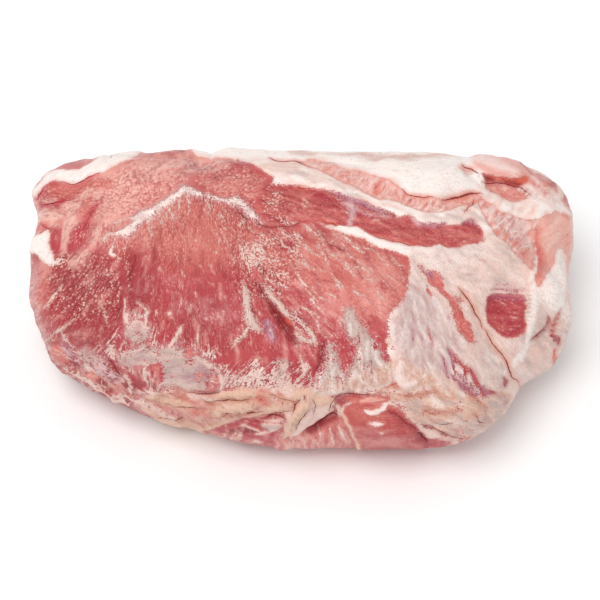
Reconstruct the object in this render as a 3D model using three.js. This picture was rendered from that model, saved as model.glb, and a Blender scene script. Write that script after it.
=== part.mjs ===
// A boneless raw pork neck, one solid block of meat lying flat with its boned-out side up.
// Millimetres, +Z up. X runs along the muscles, -Y is the front edge and +Y the back edge.
// The origin is on the resting face, under the middle of the block's box.

import * as THREE from "three";
import { mergeVertices } from "three/addons/utils/BufferGeometryUtils.js";

// Size of the plain block, before the relief.
const LENGTH = 272;
const DEPTH = 152;
const HEIGHT = 94;
// The sides bulge furthest out at this height.
const WIDEST_LEVEL = 40;
// The meat settles by this much on the table, which makes its resting face.
const SETTLE = 8;

// Plan outline: distance from the middle to the edge, every 15 degrees from the right end
// round by the back. The front left is slimmer than the rest.
const PLAN_RADII = [
  131, 140, 130, 102, 84, 78, 76, 78, 85, 101, 132, 135,
  135, 123, 104, 90, 81, 77, 77, 79, 88, 103, 117, 118,
];
// Corners that stand out from that smooth outline: the angle they lie at and how far round
// they spread, both in degrees, and how far they stand out.
const CORNERS = [
  { at: 23, spread: 8, out: 9 },
  { at: 156, spread: 6, out: 12 },
  { at: 194, spread: 5, out: 3 },
  { at: 317, spread: 7, out: 5 },
  { at: 350, spread: 7, out: 12 },
];

// How square the block is: 2 is an ellipse, more is boxier.
const TOP_SQUARENESS = 2.7;
const UNDERSIDE_SQUARENESS = 3.2;
const PLAN_SQUARENESS = 4;

// Facets along the length, the depth and the height.
const FACETS = [49, 29, 18];

const COLOUR = 0xc0606a;
const ROUGHNESS = 0.45;

// The relief is laid out on flat views of the block, taken at an azimuth and an elevation in
// degrees. Places are in millimetres from the view's middle, to the right and up, and depths
// and heights are along the surface's normal.
//
// seams: grooves between muscles, folds and cuts. width is where a groove is a third as deep.
// ledges: the edge of a layer that lies over the next one, on the left of its path. It stands
//   proud by rise, which dies away over reach.
// swells: the round bellies of muscles and fat rolls, turned by turn degrees.
const MIDDLE_HEIGHT = 37;
const VIEWING_DISTANCE = 1100;
const RELIEF = [
  {
    azimuth: 0,
    elevation: 55,
    seams: [
      // The left end, where three small muscles run out.
      { path: [[-130, 45], [-120, 50], [-112, 52], [-100, 54]], width: 4.5, depth: 3.5 },
      { path: [[-118, 24], [-112, 32], [-106, 41], [-97, 50]], width: 4.5, depth: 3.5 },
      { path: [[-128, 28], [-121, 36], [-118, 44]], width: 4.5, depth: 2 },
      // The long seam over the main muscle, up to its peak and down to the right.
      { path: [[-92, 20], [-80, 31], [-68, 48], [-60, 57], [-48, 52]], width: 4.5, depth: 2 },
      { path: [[-48, 52], [-34, 49], [-22, 39], [-6, 37], [15, 38], [36, 30], [56, 23]], width: 4.5, depth: 2 },
      // Slits in the fat of the back right corner.
      { path: [[72, 50], [80, 52], [86, 53.5], [92, 53]], width: 4.5, depth: 3 },
      { path: [[82, 67], [90, 62.5], [98, 59], [109, 56]], width: 4.5, depth: 4 },
      { path: [[110, 57], [119, 52], [128, 47], [133, 41]], width: 4.5, depth: 2.5 },
      // The long cut across the fat on the right, and the fold beside it.
      { path: [[79, 7], [92, -12], [98, -23], [105, -34]], width: 4.5, depth: 2.8 },
      { path: [[109, -31], [117, -21], [125, -14]], width: 4.5, depth: 2.2 },
      // Round the tendon in the middle of the main muscle, and the dip left of it.
      { path: [[-18, 0], [-11, -11], [-4, -20], [6, -20]], width: 4.5, depth: 2 },
      { path: [[-75, 2], [-74, -8], [-73, -22]], width: 7, depth: 2 },
      // Along the front edge, between the fat rolls, the straps and the front muscle.
      { path: [[-122, -15], [-110, -25], [-102, -29], [-92, -26]], width: 5, depth: 2 },
      { path: [[-72, -47], [-50, -50], [-28, -49], [-4, -46]], width: 5, depth: 2 },
      { path: [[-62, -66], [-34, -62], [-9, -56]], width: 5, depth: 2.5 },
      { path: [[3, -66], [11, -61], [20, -57], [24, -51]], width: 5, depth: 4 },
      { path: [[24, -51], [31, -47], [45, -51], [58, -60], [64, -68]], width: 5, depth: 2.5 },
      { path: [[48, -49], [58, -47], [72, -49]], width: 5, depth: 2 },
      { path: [[62, -62], [70, -64], [84, -70]], width: 5, depth: 2.5 },
    ],
    ledges: [
      // The fat over the upper strip muscle, and the fold of fat in the back right corner.
      { path: [[-30, 68], [-8, 60], [20, 53], [48, 42], [70, 36], [92, 35]], rise: 2.6, reach: 9 },
      { path: [[80, 66], [92, 62], [103, 60], [114, 60]], rise: 3.5, reach: 8 },
      // The lower strip muscle and the fat that closes it off.
      { path: [[92, 29], [70, 26], [48, 28], [24, 37]], rise: 1.6, reach: 8 },
      { path: [[60, 22], [70, 12], [78, 2]], rise: 1.2, reach: 10 },
      // The muscle that wraps the right end.
      { path: [[116, 8], [116, 22], [115, 40]], rise: 4, reach: 12 },
      // The band of fat along the back left edge.
      { path: [[-136, 38], [-126, 54], [-108, 57], [-88, 64]], rise: 2.4, reach: 7 },
    ],
    swells: [
      // The main muscle, and the one between it and the right end.
      { at: [-62, 2], reach: [66, 46], turn: -12, height: 4 },
      { at: [28, 6], reach: [46, 30], turn: -25, height: 2.5 },
      // The small muscles of the back left corner.
      { at: [-82, 52], reach: [36, 14], turn: 12, height: 2.5 },
      { at: [-122, 38], reach: [13, 12], turn: 40, height: 2 },
      // The fat along the back edge and on the right, with the sunken muscle in it.
      { at: [60, 62], reach: [44, 12], turn: -3, height: 4 },
      { at: [100, 67], reach: [20, 9], turn: -8, height: 1.5 },
      { at: [88, 4], reach: [30, 34], turn: 0, height: 2 },
      { at: [103, -6], reach: [11, 13], turn: 0, height: -2.5 },
      { at: [66, -34], reach: [30, 18], turn: -10, height: 2 },
      { at: [118, -30], reach: [18, 16], turn: 30, height: 3 },
      // The rolls, straps and muscle of the front edge.
      { at: [-38, -54], reach: [40, 8], turn: 2, height: 3 },
      { at: [44, -63], reach: [30, 11], turn: -8, height: 4 },
      { at: [82, -58], reach: [22, 13], turn: 20, height: 3 },
      { at: [-1, -57], reach: [6, 15], turn: -28, height: 4 },
      { at: [30, -30], reach: [7, 22], turn: 14, height: 1.8 },
    ],
  },
  {
    // The fat cap on the back: two long seams and a cross fold.
    azimuth: 180,
    elevation: 20,
    seams: [
      { path: [[-118, 12], [-70, 20], [-10, 14], [50, 22], [112, 12]], width: 6, depth: 3.5 },
      { path: [[-108, -16], [-50, -8], [10, -18], [70, -12], [116, -20]], width: 6, depth: 3 },
      { path: [[58, 34], [48, 14], [54, -8]], width: 5.5, depth: 2.5 },
    ],
    ledges: [],
    swells: [
      { at: [-62, -2], reach: [56, 18], turn: 4, height: 3 },
      { at: [58, 2], reach: [52, 18], turn: -3, height: 3 },
    ],
  },
  {
    // The right end, where three muscles are cut across.
    azimuth: 90,
    elevation: 15,
    seams: [
      { path: [[-52, 14], [-22, 20], [8, 12], [44, 20]], width: 5, depth: 3 },
      { path: [[-40, -16], [-12, -8], [10, 10]], width: 5, depth: 3 },
      { path: [[6, -26], [18, -8], [34, 2]], width: 5, depth: 2.5 },
    ],
    ledges: [],
    swells: [
      { at: [-26, 0], reach: [26, 20], turn: 0, height: 3 },
      { at: [30, -6], reach: [24, 20], turn: 10, height: 3 },
    ],
  },
  {
    // The left end, where two are.
    azimuth: 270,
    elevation: 15,
    seams: [
      { path: [[-48, 10], [-20, 2], [12, 12], [40, 6]], width: 5, depth: 3 },
      { path: [[-10, -26], [2, -10], [12, 12]], width: 5, depth: 3 },
    ],
    ledges: [],
    swells: [
      { at: [22, -8], reach: [24, 20], turn: 0, height: 3 },
      { at: [-26, -6], reach: [24, 18], turn: 0, height: 2.5 },
    ],
  },
];
const CURVE_STEPS = 24;
// A seam or ledge fades out over this share of its path at each end.
const RUN_OUT = 0.16;
// This share of a seam's depth is left where its path ends.
const SEAM_END = 0.2;
// A ledge steps up over this distance each side of its path, and this share of the step is
// taken from the layer below.
const LEDGE_EDGE = 1.5;
const LEDGE_BELOW = 0.35;
// A view's relief fades out where the surface turns away from it, between these cosines.
const FADE = [-0.35, 0.1];

// The directions of a view: towards the viewer, to the right and up.
function viewAxes({ azimuth, elevation }) {
  const a = THREE.MathUtils.degToRad(azimuth);
  const e = THREE.MathUtils.degToRad(elevation);
  const towards = new THREE.Vector3(Math.sin(a) * Math.cos(e), -Math.cos(a) * Math.cos(e), Math.sin(e));
  const right = new THREE.Vector3(Math.cos(a), Math.sin(a), 0);
  return { towards, right, up: new THREE.Vector3().crossVectors(towards, right) };
}

// Where a point of the block lies in a view, nearer points spreading out a little.
function placeIn({ towards, right, up }, point) {
  const fromMiddle = point.clone().setZ(point.z - MIDDLE_HEIGHT);
  const spread = VIEWING_DISTANCE / (VIEWING_DISTANCE - fromMiddle.dot(towards));
  return new THREE.Vector2(fromMiddle.dot(right), fromMiddle.dot(up)).multiplyScalar(spread);
}

function withCurve(line) {
  const knots = line.path.map(([x, y]) => new THREE.Vector2(x, y));
  return { ...line, curve: new THREE.SplineCurve(knots).getPoints(CURVE_STEPS) };
}

// Distance from a place to a curve, positive on the curve's left, and how far along the
// curve the nearest point is, from 0 to 1.
function nearestOn(curve, place) {
  let best = { distance: Infinity, along: 0 };
  for (let i = 0; i + 1 < curve.length; i += 1) {
    const run = curve[i + 1].clone().sub(curve[i]);
    const offset = place.clone().sub(curve[i]);
    const share = THREE.MathUtils.clamp(offset.dot(run) / run.lengthSq(), 0, 1);
    const gap = offset.clone().addScaledVector(run, -share).length();
    if (gap < Math.abs(best.distance)) {
      const side = run.cross(offset) < 0 ? -1 : 1;
      best = { distance: side * gap, along: (i + share) / (curve.length - 1) };
    }
  }
  return best;
}

function runOut(along) {
  return THREE.MathUtils.smoothstep(Math.min(along, 1 - along), 0, RUN_OUT);
}

function seamHeight({ curve, width, depth }, place) {
  const { distance, along } = nearestOn(curve, place);
  return -depth * Math.exp(-((distance / width) ** 2)) * (SEAM_END + (1 - SEAM_END) * runOut(along));
}

function ledgeHeight({ curve, rise, reach }, place) {
  const { distance, along } = nearestOn(curve, place);
  const step = THREE.MathUtils.smoothstep(distance, -LEDGE_EDGE, LEDGE_EDGE) - LEDGE_BELOW;
  return rise * step * Math.exp(-Math.abs(distance) / reach) * runOut(along);
}

function swellHeight({ at, reach, turn, height }, place) {
  const local = place.clone().sub(new THREE.Vector2(...at));
  local.rotateAround(new THREE.Vector2(), -THREE.MathUtils.degToRad(turn));
  const share = (local.x / reach[0]) ** 2 + (local.y / reach[1]) ** 2;
  return share < 1 ? height * (1 - share) ** 2 : 0;
}

// Height of the relief over the plain block, at a point whose surface faces along normal.
function reliefHeight(views, point, normal) {
  let height = 0;
  for (const { axes, seams, ledges, swells } of views) {
    const facing = THREE.MathUtils.smoothstep(normal.dot(axes.towards), ...FADE);
    if (facing === 0) continue;
    const place = placeIn(axes, point);
    for (const seam of seams) height += facing * seamHeight(seam, place);
    for (const ledge of ledges) height += facing * ledgeHeight(ledge, place);
    for (const swell of swells) height += facing * swellHeight(swell, place);
  }
  return height;
}

// One smooth closed curve through PLAN_RADII, at a place given in turns round the block.
function smoothRadius(turns) {
  const count = PLAN_RADII.length;
  const start = Math.floor(turns * count);
  const share = turns * count - start;
  const [before, from, to, after] = [-1, 0, 1, 2].map((k) => PLAN_RADII[(start + k + count) % count]);
  const rise = (to - before) / 2;
  const fall = (after - from) / 2;
  const bend = 3 * (to - from) - 2 * rise - fall;
  const twist = rise + fall - 2 * (to - from);
  return from + share * (rise + share * (bend + share * twist));
}

// The plan outline's radius at an angle, with its corners.
function planRadius(angle) {
  const turns = (angle / (2 * Math.PI) + 1) % 1;
  let radius = smoothRadius(turns);
  for (const { at, spread, out } of CORNERS) {
    const apart = Math.abs(360 * turns - at);
    radius += out * Math.exp(-((Math.min(apart, 360 - apart) / spread) ** 2));
  }
  return radius;
}

// Length of (a, b) where the unit circle is a rounded square.
function squareLength(a, b, squareness) {
  return (Math.abs(a) ** squareness + Math.abs(b) ** squareness) ** (1 / squareness);
}

// A point of the plain block, from a point on the skin of a cube of sides -1 to 1. Even
// angles instead of even steps keep the facets' size where they go over the cube's edges.
function blockPoint(cube) {
  const [x, y, z] = cube.toArray().map((side) => Math.tan((Math.PI / 4) * side));
  const across = squareLength(x, y, PLAN_SQUARENESS);
  const size = squareLength(across, z, z > 0 ? TOP_SQUARENESS : UNDERSIDE_SQUARENESS);
  const angle = Math.atan2(y * DEPTH, x * LENGTH);
  const radius = (across / size) * planRadius(angle);
  const rise = z > 0 ? HEIGHT - WIDEST_LEVEL : WIDEST_LEVEL + SETTLE;
  const height = WIDEST_LEVEL + (rise * z) / size;
  return new THREE.Vector3(radius * Math.cos(angle), radius * Math.sin(angle), height);
}

function neckGeometry() {
  const box = new THREE.BoxGeometry(2, 2, 2, ...FACETS);
  box.deleteAttribute("normal");
  box.deleteAttribute("uv");
  const skin = mergeVertices(box);
  const places = skin.getAttribute("position");
  const point = new THREE.Vector3();
  const setEach = (move) => {
    for (let i = 0; i < places.count; i += 1) {
      const moved = move(point.fromBufferAttribute(places, i), i);
      places.setXYZ(i, moved.x, moved.y, moved.z);
    }
    skin.computeVertexNormals();
  };

  setEach((cube) => blockPoint(cube));

  const views = RELIEF.map((view) => ({
    axes: viewAxes(view),
    seams: view.seams.map(withCurve),
    ledges: view.ledges.map(withCurve),
    swells: view.swells,
  }));
  const normals = skin.getAttribute("normal").clone();
  const normal = new THREE.Vector3();
  setEach((plain, i) => {
    normal.fromBufferAttribute(normals, i);
    const moved = plain.clone().addScaledVector(normal, reliefHeight(views, plain, normal));
    return moved.setZ(Math.max(moved.z, 0));
  });

  skin.computeBoundingBox();
  const middle = skin.boundingBox.getCenter(new THREE.Vector3());
  return skin.translate(-middle.x, -middle.y, 0);
}

const neck = new THREE.Mesh(
  neckGeometry(),
  new THREE.MeshStandardMaterial({ color: COLOUR, roughness: ROUGHNESS, metalness: 0 }),
);
neck.name = "pork_neck";

const part = new THREE.Group();
part.add(neck);

export default part;
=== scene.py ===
"""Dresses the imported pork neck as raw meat: fine relief, lean, fat, silverskin and a moist finish."""

import logging
import math
from dataclasses import dataclass, field
from enum import Enum
from itertools import product
from typing import Callable, Iterable, Sequence

import bmesh
import bpy
import numpy as np
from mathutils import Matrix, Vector


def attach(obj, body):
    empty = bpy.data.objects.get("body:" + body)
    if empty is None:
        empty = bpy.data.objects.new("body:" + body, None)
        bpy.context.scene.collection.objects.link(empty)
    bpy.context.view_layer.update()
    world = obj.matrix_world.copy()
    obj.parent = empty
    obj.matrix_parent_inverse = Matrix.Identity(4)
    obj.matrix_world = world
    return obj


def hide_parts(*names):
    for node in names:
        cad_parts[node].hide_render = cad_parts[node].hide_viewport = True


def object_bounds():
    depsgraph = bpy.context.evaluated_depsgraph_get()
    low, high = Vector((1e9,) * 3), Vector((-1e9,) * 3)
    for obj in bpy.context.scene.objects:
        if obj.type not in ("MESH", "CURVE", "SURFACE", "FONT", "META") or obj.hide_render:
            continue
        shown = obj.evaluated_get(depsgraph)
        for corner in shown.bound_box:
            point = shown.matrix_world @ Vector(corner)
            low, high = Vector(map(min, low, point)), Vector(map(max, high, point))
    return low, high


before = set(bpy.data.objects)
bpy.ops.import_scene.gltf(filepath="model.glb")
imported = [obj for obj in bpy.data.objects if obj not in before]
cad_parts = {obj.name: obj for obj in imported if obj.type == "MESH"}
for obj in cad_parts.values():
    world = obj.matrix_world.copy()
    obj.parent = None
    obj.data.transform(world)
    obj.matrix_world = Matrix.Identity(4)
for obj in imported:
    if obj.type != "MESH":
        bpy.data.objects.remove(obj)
CAD_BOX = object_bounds()

LOG = logging.getLogger("pork neck")

Array = np.ndarray
Knots = Sequence[tuple[float, ...]]
Spots = tuple[tuple[float, float, float], ...]

MM = 0.001
# A field this far below zero is outside everything.
OUTSIDE = -30.0
# A line this far away no longer counts.
FAR = 9.0
# A shape is only measured on points this near to its box, in millimetres.
NEAR = 9.0
# The block's corners are about this round, which turns a surface's facing into a distance
# from where it turns away.
ROUNDING = 45.0
# Drawn edges wander by this much, on a wide and on a narrow step, in millimetres.
WIDE_SWAY, WIDE_STEP = 1.1, 11.0
NARROW_SWAY, NARROW_STEP = 0.5, 4.0
# How far the edge of what can be seen frays, and on what step.
RIM_SWAY, RIM_STEP = 12.0, 18.0
# A crack's dip: how deep it is for the depth asked, and which share of that its ends keep.
CRACK_DIP, CRACK_END = 0.8, 0.15
# How wide a thin line is drawn for the half width asked, and how narrow it can be.
LINE_WIDTH, FINEST_LINE = 0.65, 0.05
# How high and how wide the rise under a thread of fat is.
THREAD_HEIGHT, THREAD_WIDTH = 0.25, 0.9


def smooth(low: float, high: float, value: Array) -> Array:
    """Eases from 0 at low to 1 at high.

    Args:
        low: Value where the result is 0.
        high: Value where the result is 1.
        value: Values to ease.

    Returns:
        The eased values.
    """
    share = np.clip((value - low) / (high - low), 0.0, 1.0)
    return share * share * (3.0 - 2.0 * share)


def srgb(red: int, green: int, blue: int) -> tuple[float, ...]:
    """Turns an everyday colour into the linear one that materials take.

    Args:
        red: Red from 0 to 255.
        green: Green from 0 to 255.
        blue: Blue from 0 to 255.

    Returns:
        The three linear values, from 0 to 1.
    """
    share = np.array([red, green, blue]) / 255.0
    return tuple(np.where(share <= 0.04045, share / 12.92, ((share + 0.055) / 1.055) ** 2.4).tolist())


class Hue(Enum):
    """The colours of raw pork, and of the floor under it."""

    # CRACK is the dark line painted into cracks: partly the deeper red of the slit, partly painted shade in
    # the crevice.
    CRACK = srgb(138, 28, 26)
    WINE = srgb(122, 14, 28)
    DEEP = srgb(156, 36, 46)
    CRIMSON = srgb(174, 48, 60)
    LEAN = srgb(182, 64, 68)
    ROSE = srgb(198, 86, 84)
    PINK = srgb(212, 66, 84)
    SALMON = srgb(206, 113, 103)
    PEACH = srgb(226, 157, 145)
    PALE_PEACH = srgb(236, 188, 174)
    ORANGE = srgb(214, 94, 66)
    VIOLET = srgb(156, 88, 116)
    WHITE = srgb(242, 230, 224)
    PINK_FAT = srgb(228, 198, 188)
    CREAM = srgb(218, 178, 156)
    GREY_FAT = srgb(187, 165, 158)
    TAN = srgb(192, 122, 98)
    FILM = srgb(212, 176, 178)
    FLOOR = srgb(246, 246, 246)


class Trait(Enum):
    """A number that each point of the skin carries and the finish reads."""

    RAGGED = "ragged"
    FLECKS = "flecks"
    FIBRES = "fibres"
    VEINS = "veins"
    WAVES = "waves"
    STEADY = "steady"


class Line(Enum):
    """A thin line that the finish draws."""

    # Drawn dark by the finish: partly the deeper red of the slit, partly painted shade in the crevice.
    CRACK = "crack"
    THREAD = "thread"


class Noise:
    """Smooth seeded noise in three dimensions, from about -1 to 1."""

    def __init__(self, seed: int) -> None:
        """Draws the gradients.

        Args:
            seed: Seed of the draw.
        """
        rng = np.random.default_rng(seed)
        self.order = rng.permutation(256)
        gradients = rng.normal(size=(256, 3))
        self.gradients = gradients / np.linalg.norm(gradients, axis=1, keepdims=True)

    def at(self, points: Array) -> Array:
        """Returns the noise at each of the given points, one cell a unit."""
        cell = np.floor(points).astype(int)
        inner = points - cell
        ease = inner**3 * (inner * (inner * 6.0 - 15.0) + 10.0)
        total = np.zeros(len(points))
        for corner in product((0, 1), repeat=3):
            step = np.array(corner)
            mixed = self.order[(cell[:, 0] + step[0]) % 256]
            mixed = self.order[(mixed + cell[:, 1] + step[1]) % 256]
            mixed = self.order[(mixed + cell[:, 2] + step[2]) % 256]
            weight = np.prod(np.where(step, ease, 1.0 - ease), axis=1)
            total += weight * np.sum(self.gradients[mixed] * (inner - step), axis=1)
        return 1.6 * total

    def layered(self, points: Array, layers: int = 3) -> Array:
        """Adds finer and fainter layers of the noise.

        Args:
            points: Points to read at.
            layers: How many layers, each twice as fine as the one before.

        Returns:
            The sum at each point.
        """
        return sum(self.at(points * 2.0**k + 7.3 * k) / 2.0**k for k in range(layers))


@dataclass(frozen=True)
class View:
    """A direction to lay features out from, in millimetres to the right and up of its middle.

    Attributes:
        azimuth: Degrees round the block, 0 looking along +Y.
        elevation: Degrees above the horizon.
        middle: Point of the block at the view's middle.
        distance: How far away the eye is.
    """

    azimuth: float
    elevation: float
    middle: tuple[float, float, float] = (-0.99, 2.19, 37.0)
    distance: float = 1100.0

    def axes(self) -> tuple[Array, Array, Array]:
        """Returns the directions towards the eye, to the right and up."""
        a, e = math.radians(self.azimuth), math.radians(self.elevation)
        towards = np.array([math.sin(a) * math.cos(e), -math.cos(a) * math.cos(e), math.sin(e)])
        right = np.array([math.cos(a), math.sin(a), 0.0])
        return towards, right, np.cross(towards, right)

    def place(self, points: Array) -> Array:
        """Returns where each point lies in the view."""
        towards, right, up = self.axes()
        offset = points - np.array(self.middle)
        nearer = self.distance / (self.distance - offset @ towards)
        return np.stack([offset @ right, offset @ up], axis=1) * nearer[:, None]


SHOWN = View(0.0, 55.0)
BACK = View(180.0, 20.0)
RIGHT_END = View(90.0, 15.0)
LEFT_END = View(270.0, 15.0)
FRONT = View(0.0, -10.0)


def curve_through(knots: Array, closed: bool, pieces: int) -> Array:
    """Draws a smooth curve through knots.

    Args:
        knots: One knot a row, with any columns.
        closed: Whether the curve goes back to its first knot.
        pieces: Steps between two knots.

    Returns:
        The points of the curve, one a row.
    """
    count = len(knots)
    spans = count if closed else count - 1
    share = np.arange(pieces)[:, None] / pieces
    rows = []
    for k in range(spans):
        around = np.arange(k - 1, k + 3)
        around = around % count if closed else np.clip(around, 0, count - 1)
        before, start, end, after = knots[around]
        rise, fall = (end - before) / 2.0, (after - start) / 2.0
        bend = 3.0 * (end - start) - 2.0 * rise - fall
        twist = rise + fall - 2.0 * (end - start)
        rows.append(start + share * (rise + share * (bend + share * twist)))
    if not closed:
        rows.append(knots[-1:])
    return np.concatenate(rows)


@dataclass
class Shape:
    """Where the skin's points lie to a drawn shape.

    Attributes:
        at: Numbers of the points near it.
        inside: Their distance inside its edge, negative outside.
    """

    at: Array
    inside: Array

    def softened(self, share: float) -> "Shape":
        """Returns the shape with a rim that thins out slowly, for a frayed edge."""
        return Shape(self.at, share * self.inside)

    def grown(self, by: float) -> "Shape":
        """Returns the shape with its edge moved outwards."""
        return Shape(self.at, self.inside + by)


@dataclass
class Stroke(Shape):
    """Where the skin's points lie to a tapering line.

    Attributes:
        distance: Distance to the line's middle.
        side: The same, negative on the line's right.
        width: Half width of the line at the nearest place.
        along: How far along the line that place is, from 0 to 1.
    """

    distance: Array
    side: Array
    width: Array
    along: Array


@dataclass
class Skin:
    """The block's surface as points, and what is painted and carved on it.

    Attributes:
        points: The points, in millimetres.
        normals: Which way the surface faces at each.
    """

    points: Array
    normals: Array
    place: Array = field(init=False)
    facing: Array = field(init=False)
    rim: Array = field(init=False)

    def __post_init__(self) -> None:
        """Starts as bare lean meat."""
        count = len(self.points)
        wide, narrow = Noise(11), Noise(12)
        self.sway = np.empty((count, 2))
        for column, shift in enumerate((0.0, 31.7)):
            broad = WIDE_SWAY * wide.at(self.points / WIDE_STEP + shift)
            self.sway[:, column] = broad + NARROW_SWAY * narrow.at(self.points / NARROW_STEP + shift)
        self.height = np.zeros(count)
        self.fat = np.full(count, OUTSIDE)
        self.film = np.full(count, OUTSIDE)
        self.ragged = np.full(count, 0.6)
        self.flecks = np.full(count, 0.4)
        self.fibres = np.full(count, 0.8)
        self.veins = np.full(count, 0.2)
        self.waves = np.zeros(count)
        self.steady = np.ones(count)
        self.crack_side = np.full(count, FAR)
        self.crack_far = np.full(count, FAR)
        self.thread_side = np.full(count, FAR)
        self.thread_far = np.full(count, FAR)
        self.lean_colour = np.tile(Hue.LEAN.value, (count, 1))
        self.fat_colour = np.tile(Hue.PINK_FAT.value, (count, 1))
        self.grain = self.points.copy()
        self.heading = np.zeros(count)
        self.frayed_rim = RIM_SWAY * Noise(9).layered(self.points / RIM_STEP)
        self.look(SHOWN)

    def look(self, view: View, low: float = -0.3) -> None:
        """Lays what follows out on another view.

        Args:
            view: The view.
            low: Cosine past which the surface faces too far away to be painted on.
        """
        self.place = view.place(self.points) + self.sway
        self.facing = self.normals @ view.axes()[0]
        self.rim = ROUNDING * (self.facing - low) + self.frayed_rim

    def near(self, outline: Array, margin: float) -> Array:
        """Returns the numbers of the seen points near a curve's box."""
        low, high = outline[:, :2].min(axis=0) - margin, outline[:, :2].max(axis=0) + margin
        boxed = np.all((self.place > low) & (self.place < high), axis=1)
        return np.nonzero((self.rim > -NEAR) & boxed)[0]

    def line(self, knots: Knots, margin: float = NEAR) -> Stroke:
        """Measures the points against a tapering line.

        Args:
            knots: Places with the half width there, (x, y, half width).
            margin: How far from the line to measure.

        Returns:
            How the points near it lie to it.
        """
        curve = curve_through(np.array(knots, float), False, 6)
        chosen = self.near(curve, margin + curve[:, 2].max())
        place = self.place[chosen]
        best = np.full(len(chosen), np.inf)
        side, width, along = np.full(len(chosen), FAR), np.zeros(len(chosen)), np.zeros(len(chosen))
        for k in range(len(curve) - 1):
            start, run = curve[k, :2], curve[k + 1, :2] - curve[k, :2]
            offset = place - start
            share = np.clip(offset @ run / (run @ run + 1e-12), 0.0, 1.0)
            gap = np.linalg.norm(offset - share[:, None] * run, axis=1)
            closer = gap < best
            best[closer] = gap[closer]
            turn = run[0] * offset[:, 1] - run[1] * offset[:, 0]
            side[closer] = np.where(turn < 0, -gap, gap)[closer]
            width[closer] = (curve[k, 2] + share * (curve[k + 1, 2] - curve[k, 2]))[closer]
            along[closer] = ((k + share) / (len(curve) - 1))[closer]
        distance = np.maximum(best, -self.rim[chosen])
        return Stroke(chosen, width - distance, distance, side, width, along)

    def area(self, outline: Knots, margin: float = NEAR) -> Shape:
        """Measures the points against a smooth closed outline.

        Args:
            outline: Places round the outline.
            margin: How far from the outline to measure.

        Returns:
            How the points near it lie to it.
        """
        curve = curve_through(np.array(outline, float), True, 5)
        chosen = self.near(curve, margin)
        place = self.place[chosen]
        best = np.full(len(chosen), np.inf)
        within = np.zeros(len(chosen), bool)
        for start, end in zip(curve, np.roll(curve, -1, axis=0)):
            run = end - start
            offset = place - start
            share = np.clip(offset @ run / (run @ run + 1e-12), 0.0, 1.0)
            best = np.minimum(best, np.linalg.norm(offset - share[:, None] * run, axis=1))
            crosses = (start[1] > place[:, 1]) != (end[1] > place[:, 1])
            if crosses.any():
                reach = start[0] + (place[:, 1] - start[1]) * run[0] / (run[1] if run[1] else 1e-9)
                within ^= crosses & (place[:, 0] < reach)
        return Shape(chosen, np.minimum(np.where(within, best, -best), self.rim[chosen]))

    def put_fat(self, shape: Shape, most: float = FAR, ragged: float | None = None) -> None:
        """Lays fat over what is there.

        Args:
            shape: Where.
            most: How thick it is at most: 0 is half fat and half lean, 2 is nearly all fat.
            ragged: How far its edge and its thin places fray, if that changes.
        """
        self.fat[shape.at] = np.maximum(self.fat[shape.at], np.minimum(shape.inside, most))
        if ragged is not None:
            self.vary(Trait.RAGGED, shape.grown(2.0), ragged, 1.5)

    def put_lean(self, shape: Shape, colour: Hue, soft: float = 2.0) -> None:
        """Lays lean over what is there, and heals what was cut before.

        Args:
            shape: Where.
            colour: Its colour.
            soft: How far the colour takes to fade in.
        """
        self.fat[shape.at] = np.minimum(self.fat[shape.at], -shape.inside)
        self.film[shape.at] = np.minimum(self.film[shape.at], -shape.inside)
        self.heal(shape)
        self.tone(shape, colour, soft)

    def put_film(self, shape: Shape, most: float = FAR) -> None:
        """Lays a thin silverskin over what is there."""
        self.film[shape.at] = np.maximum(self.film[shape.at], np.minimum(shape.inside, most))

    def heal(self, shape: Shape) -> None:
        """Closes the cracks and takes the threads away inside a shape."""
        inner = shape.at[shape.inside > 0.0]
        for kind in Line:
            side, far = self.line_fields(kind)
            side[inner] = np.where(side[inner] < 0, -FAR, FAR)
            far[inner] = FAR

    def tone(self, shape: Shape, colour: Hue, soft: float = 3.0, amount: float = 1.0) -> None:
        """Colours the lean.

        Args:
            shape: Where.
            colour: The new colour.
            soft: How far the colour takes to fade in.
            amount: Share of the new colour.
        """
        share = amount * smooth(-soft, soft, shape.inside)[:, None]
        self.lean_colour[shape.at] += share * (np.array(colour.value) - self.lean_colour[shape.at])

    def tint(self, shape: Shape, colour: Hue, soft: float = 3.0, amount: float = 1.0) -> None:
        """Colours the fat, as tone does the lean."""
        share = amount * smooth(-soft, soft, shape.inside)[:, None]
        self.fat_colour[shape.at] += share * (np.array(colour.value) - self.fat_colour[shape.at])

    def dye(self, shape: Shape, colour: Hue, soft: float, amount: float) -> None:
        """Colours lean and fat alike."""
        self.tone(shape, colour, soft, amount)
        self.tint(shape, colour, soft, amount)

    def vary(self, trait: Trait, shape: Shape, value: float, soft: float = 3.0) -> None:
        """Sets one of the numbers that the finish reads.

        Args:
            trait: Which number.
            shape: Where.
            value: The new value.
            soft: How far it takes to change.
        """
        numbers = getattr(self, trait.value)
        numbers[shape.at] += smooth(-soft, soft, shape.inside) * (value - numbers[shape.at])

    def swell(self, shape: Shape, height: float, soft: float) -> None:
        """Raises a shape, rounding its rim over the distance soft."""
        share = np.clip(shape.inside / soft, 0.0, 1.0)
        self.height[shape.at] += height * np.sqrt(1.0 - (1.0 - share) ** 2)

    def line_fields(self, kind: Line) -> tuple[Array, Array]:
        """Returns each point's offset across the nearest line of a kind, and its distance to it."""
        return getattr(self, kind.value + "_side"), getattr(self, kind.value + "_far")

    def draw(self, kind: Line, stroke: Stroke) -> None:
        """Notes a thin line for the finish to draw.

        Args:
            kind: What it is.
            stroke: How the points lie to it.
        """
        side, far = self.line_fields(kind)
        nearer = stroke.distance < far[stroke.at]
        at = stroke.at[nearer]
        side[at] = (stroke.side / np.maximum(LINE_WIDTH * stroke.width, FINEST_LINE))[nearer]
        far[at] = stroke.distance[nearer]

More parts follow.
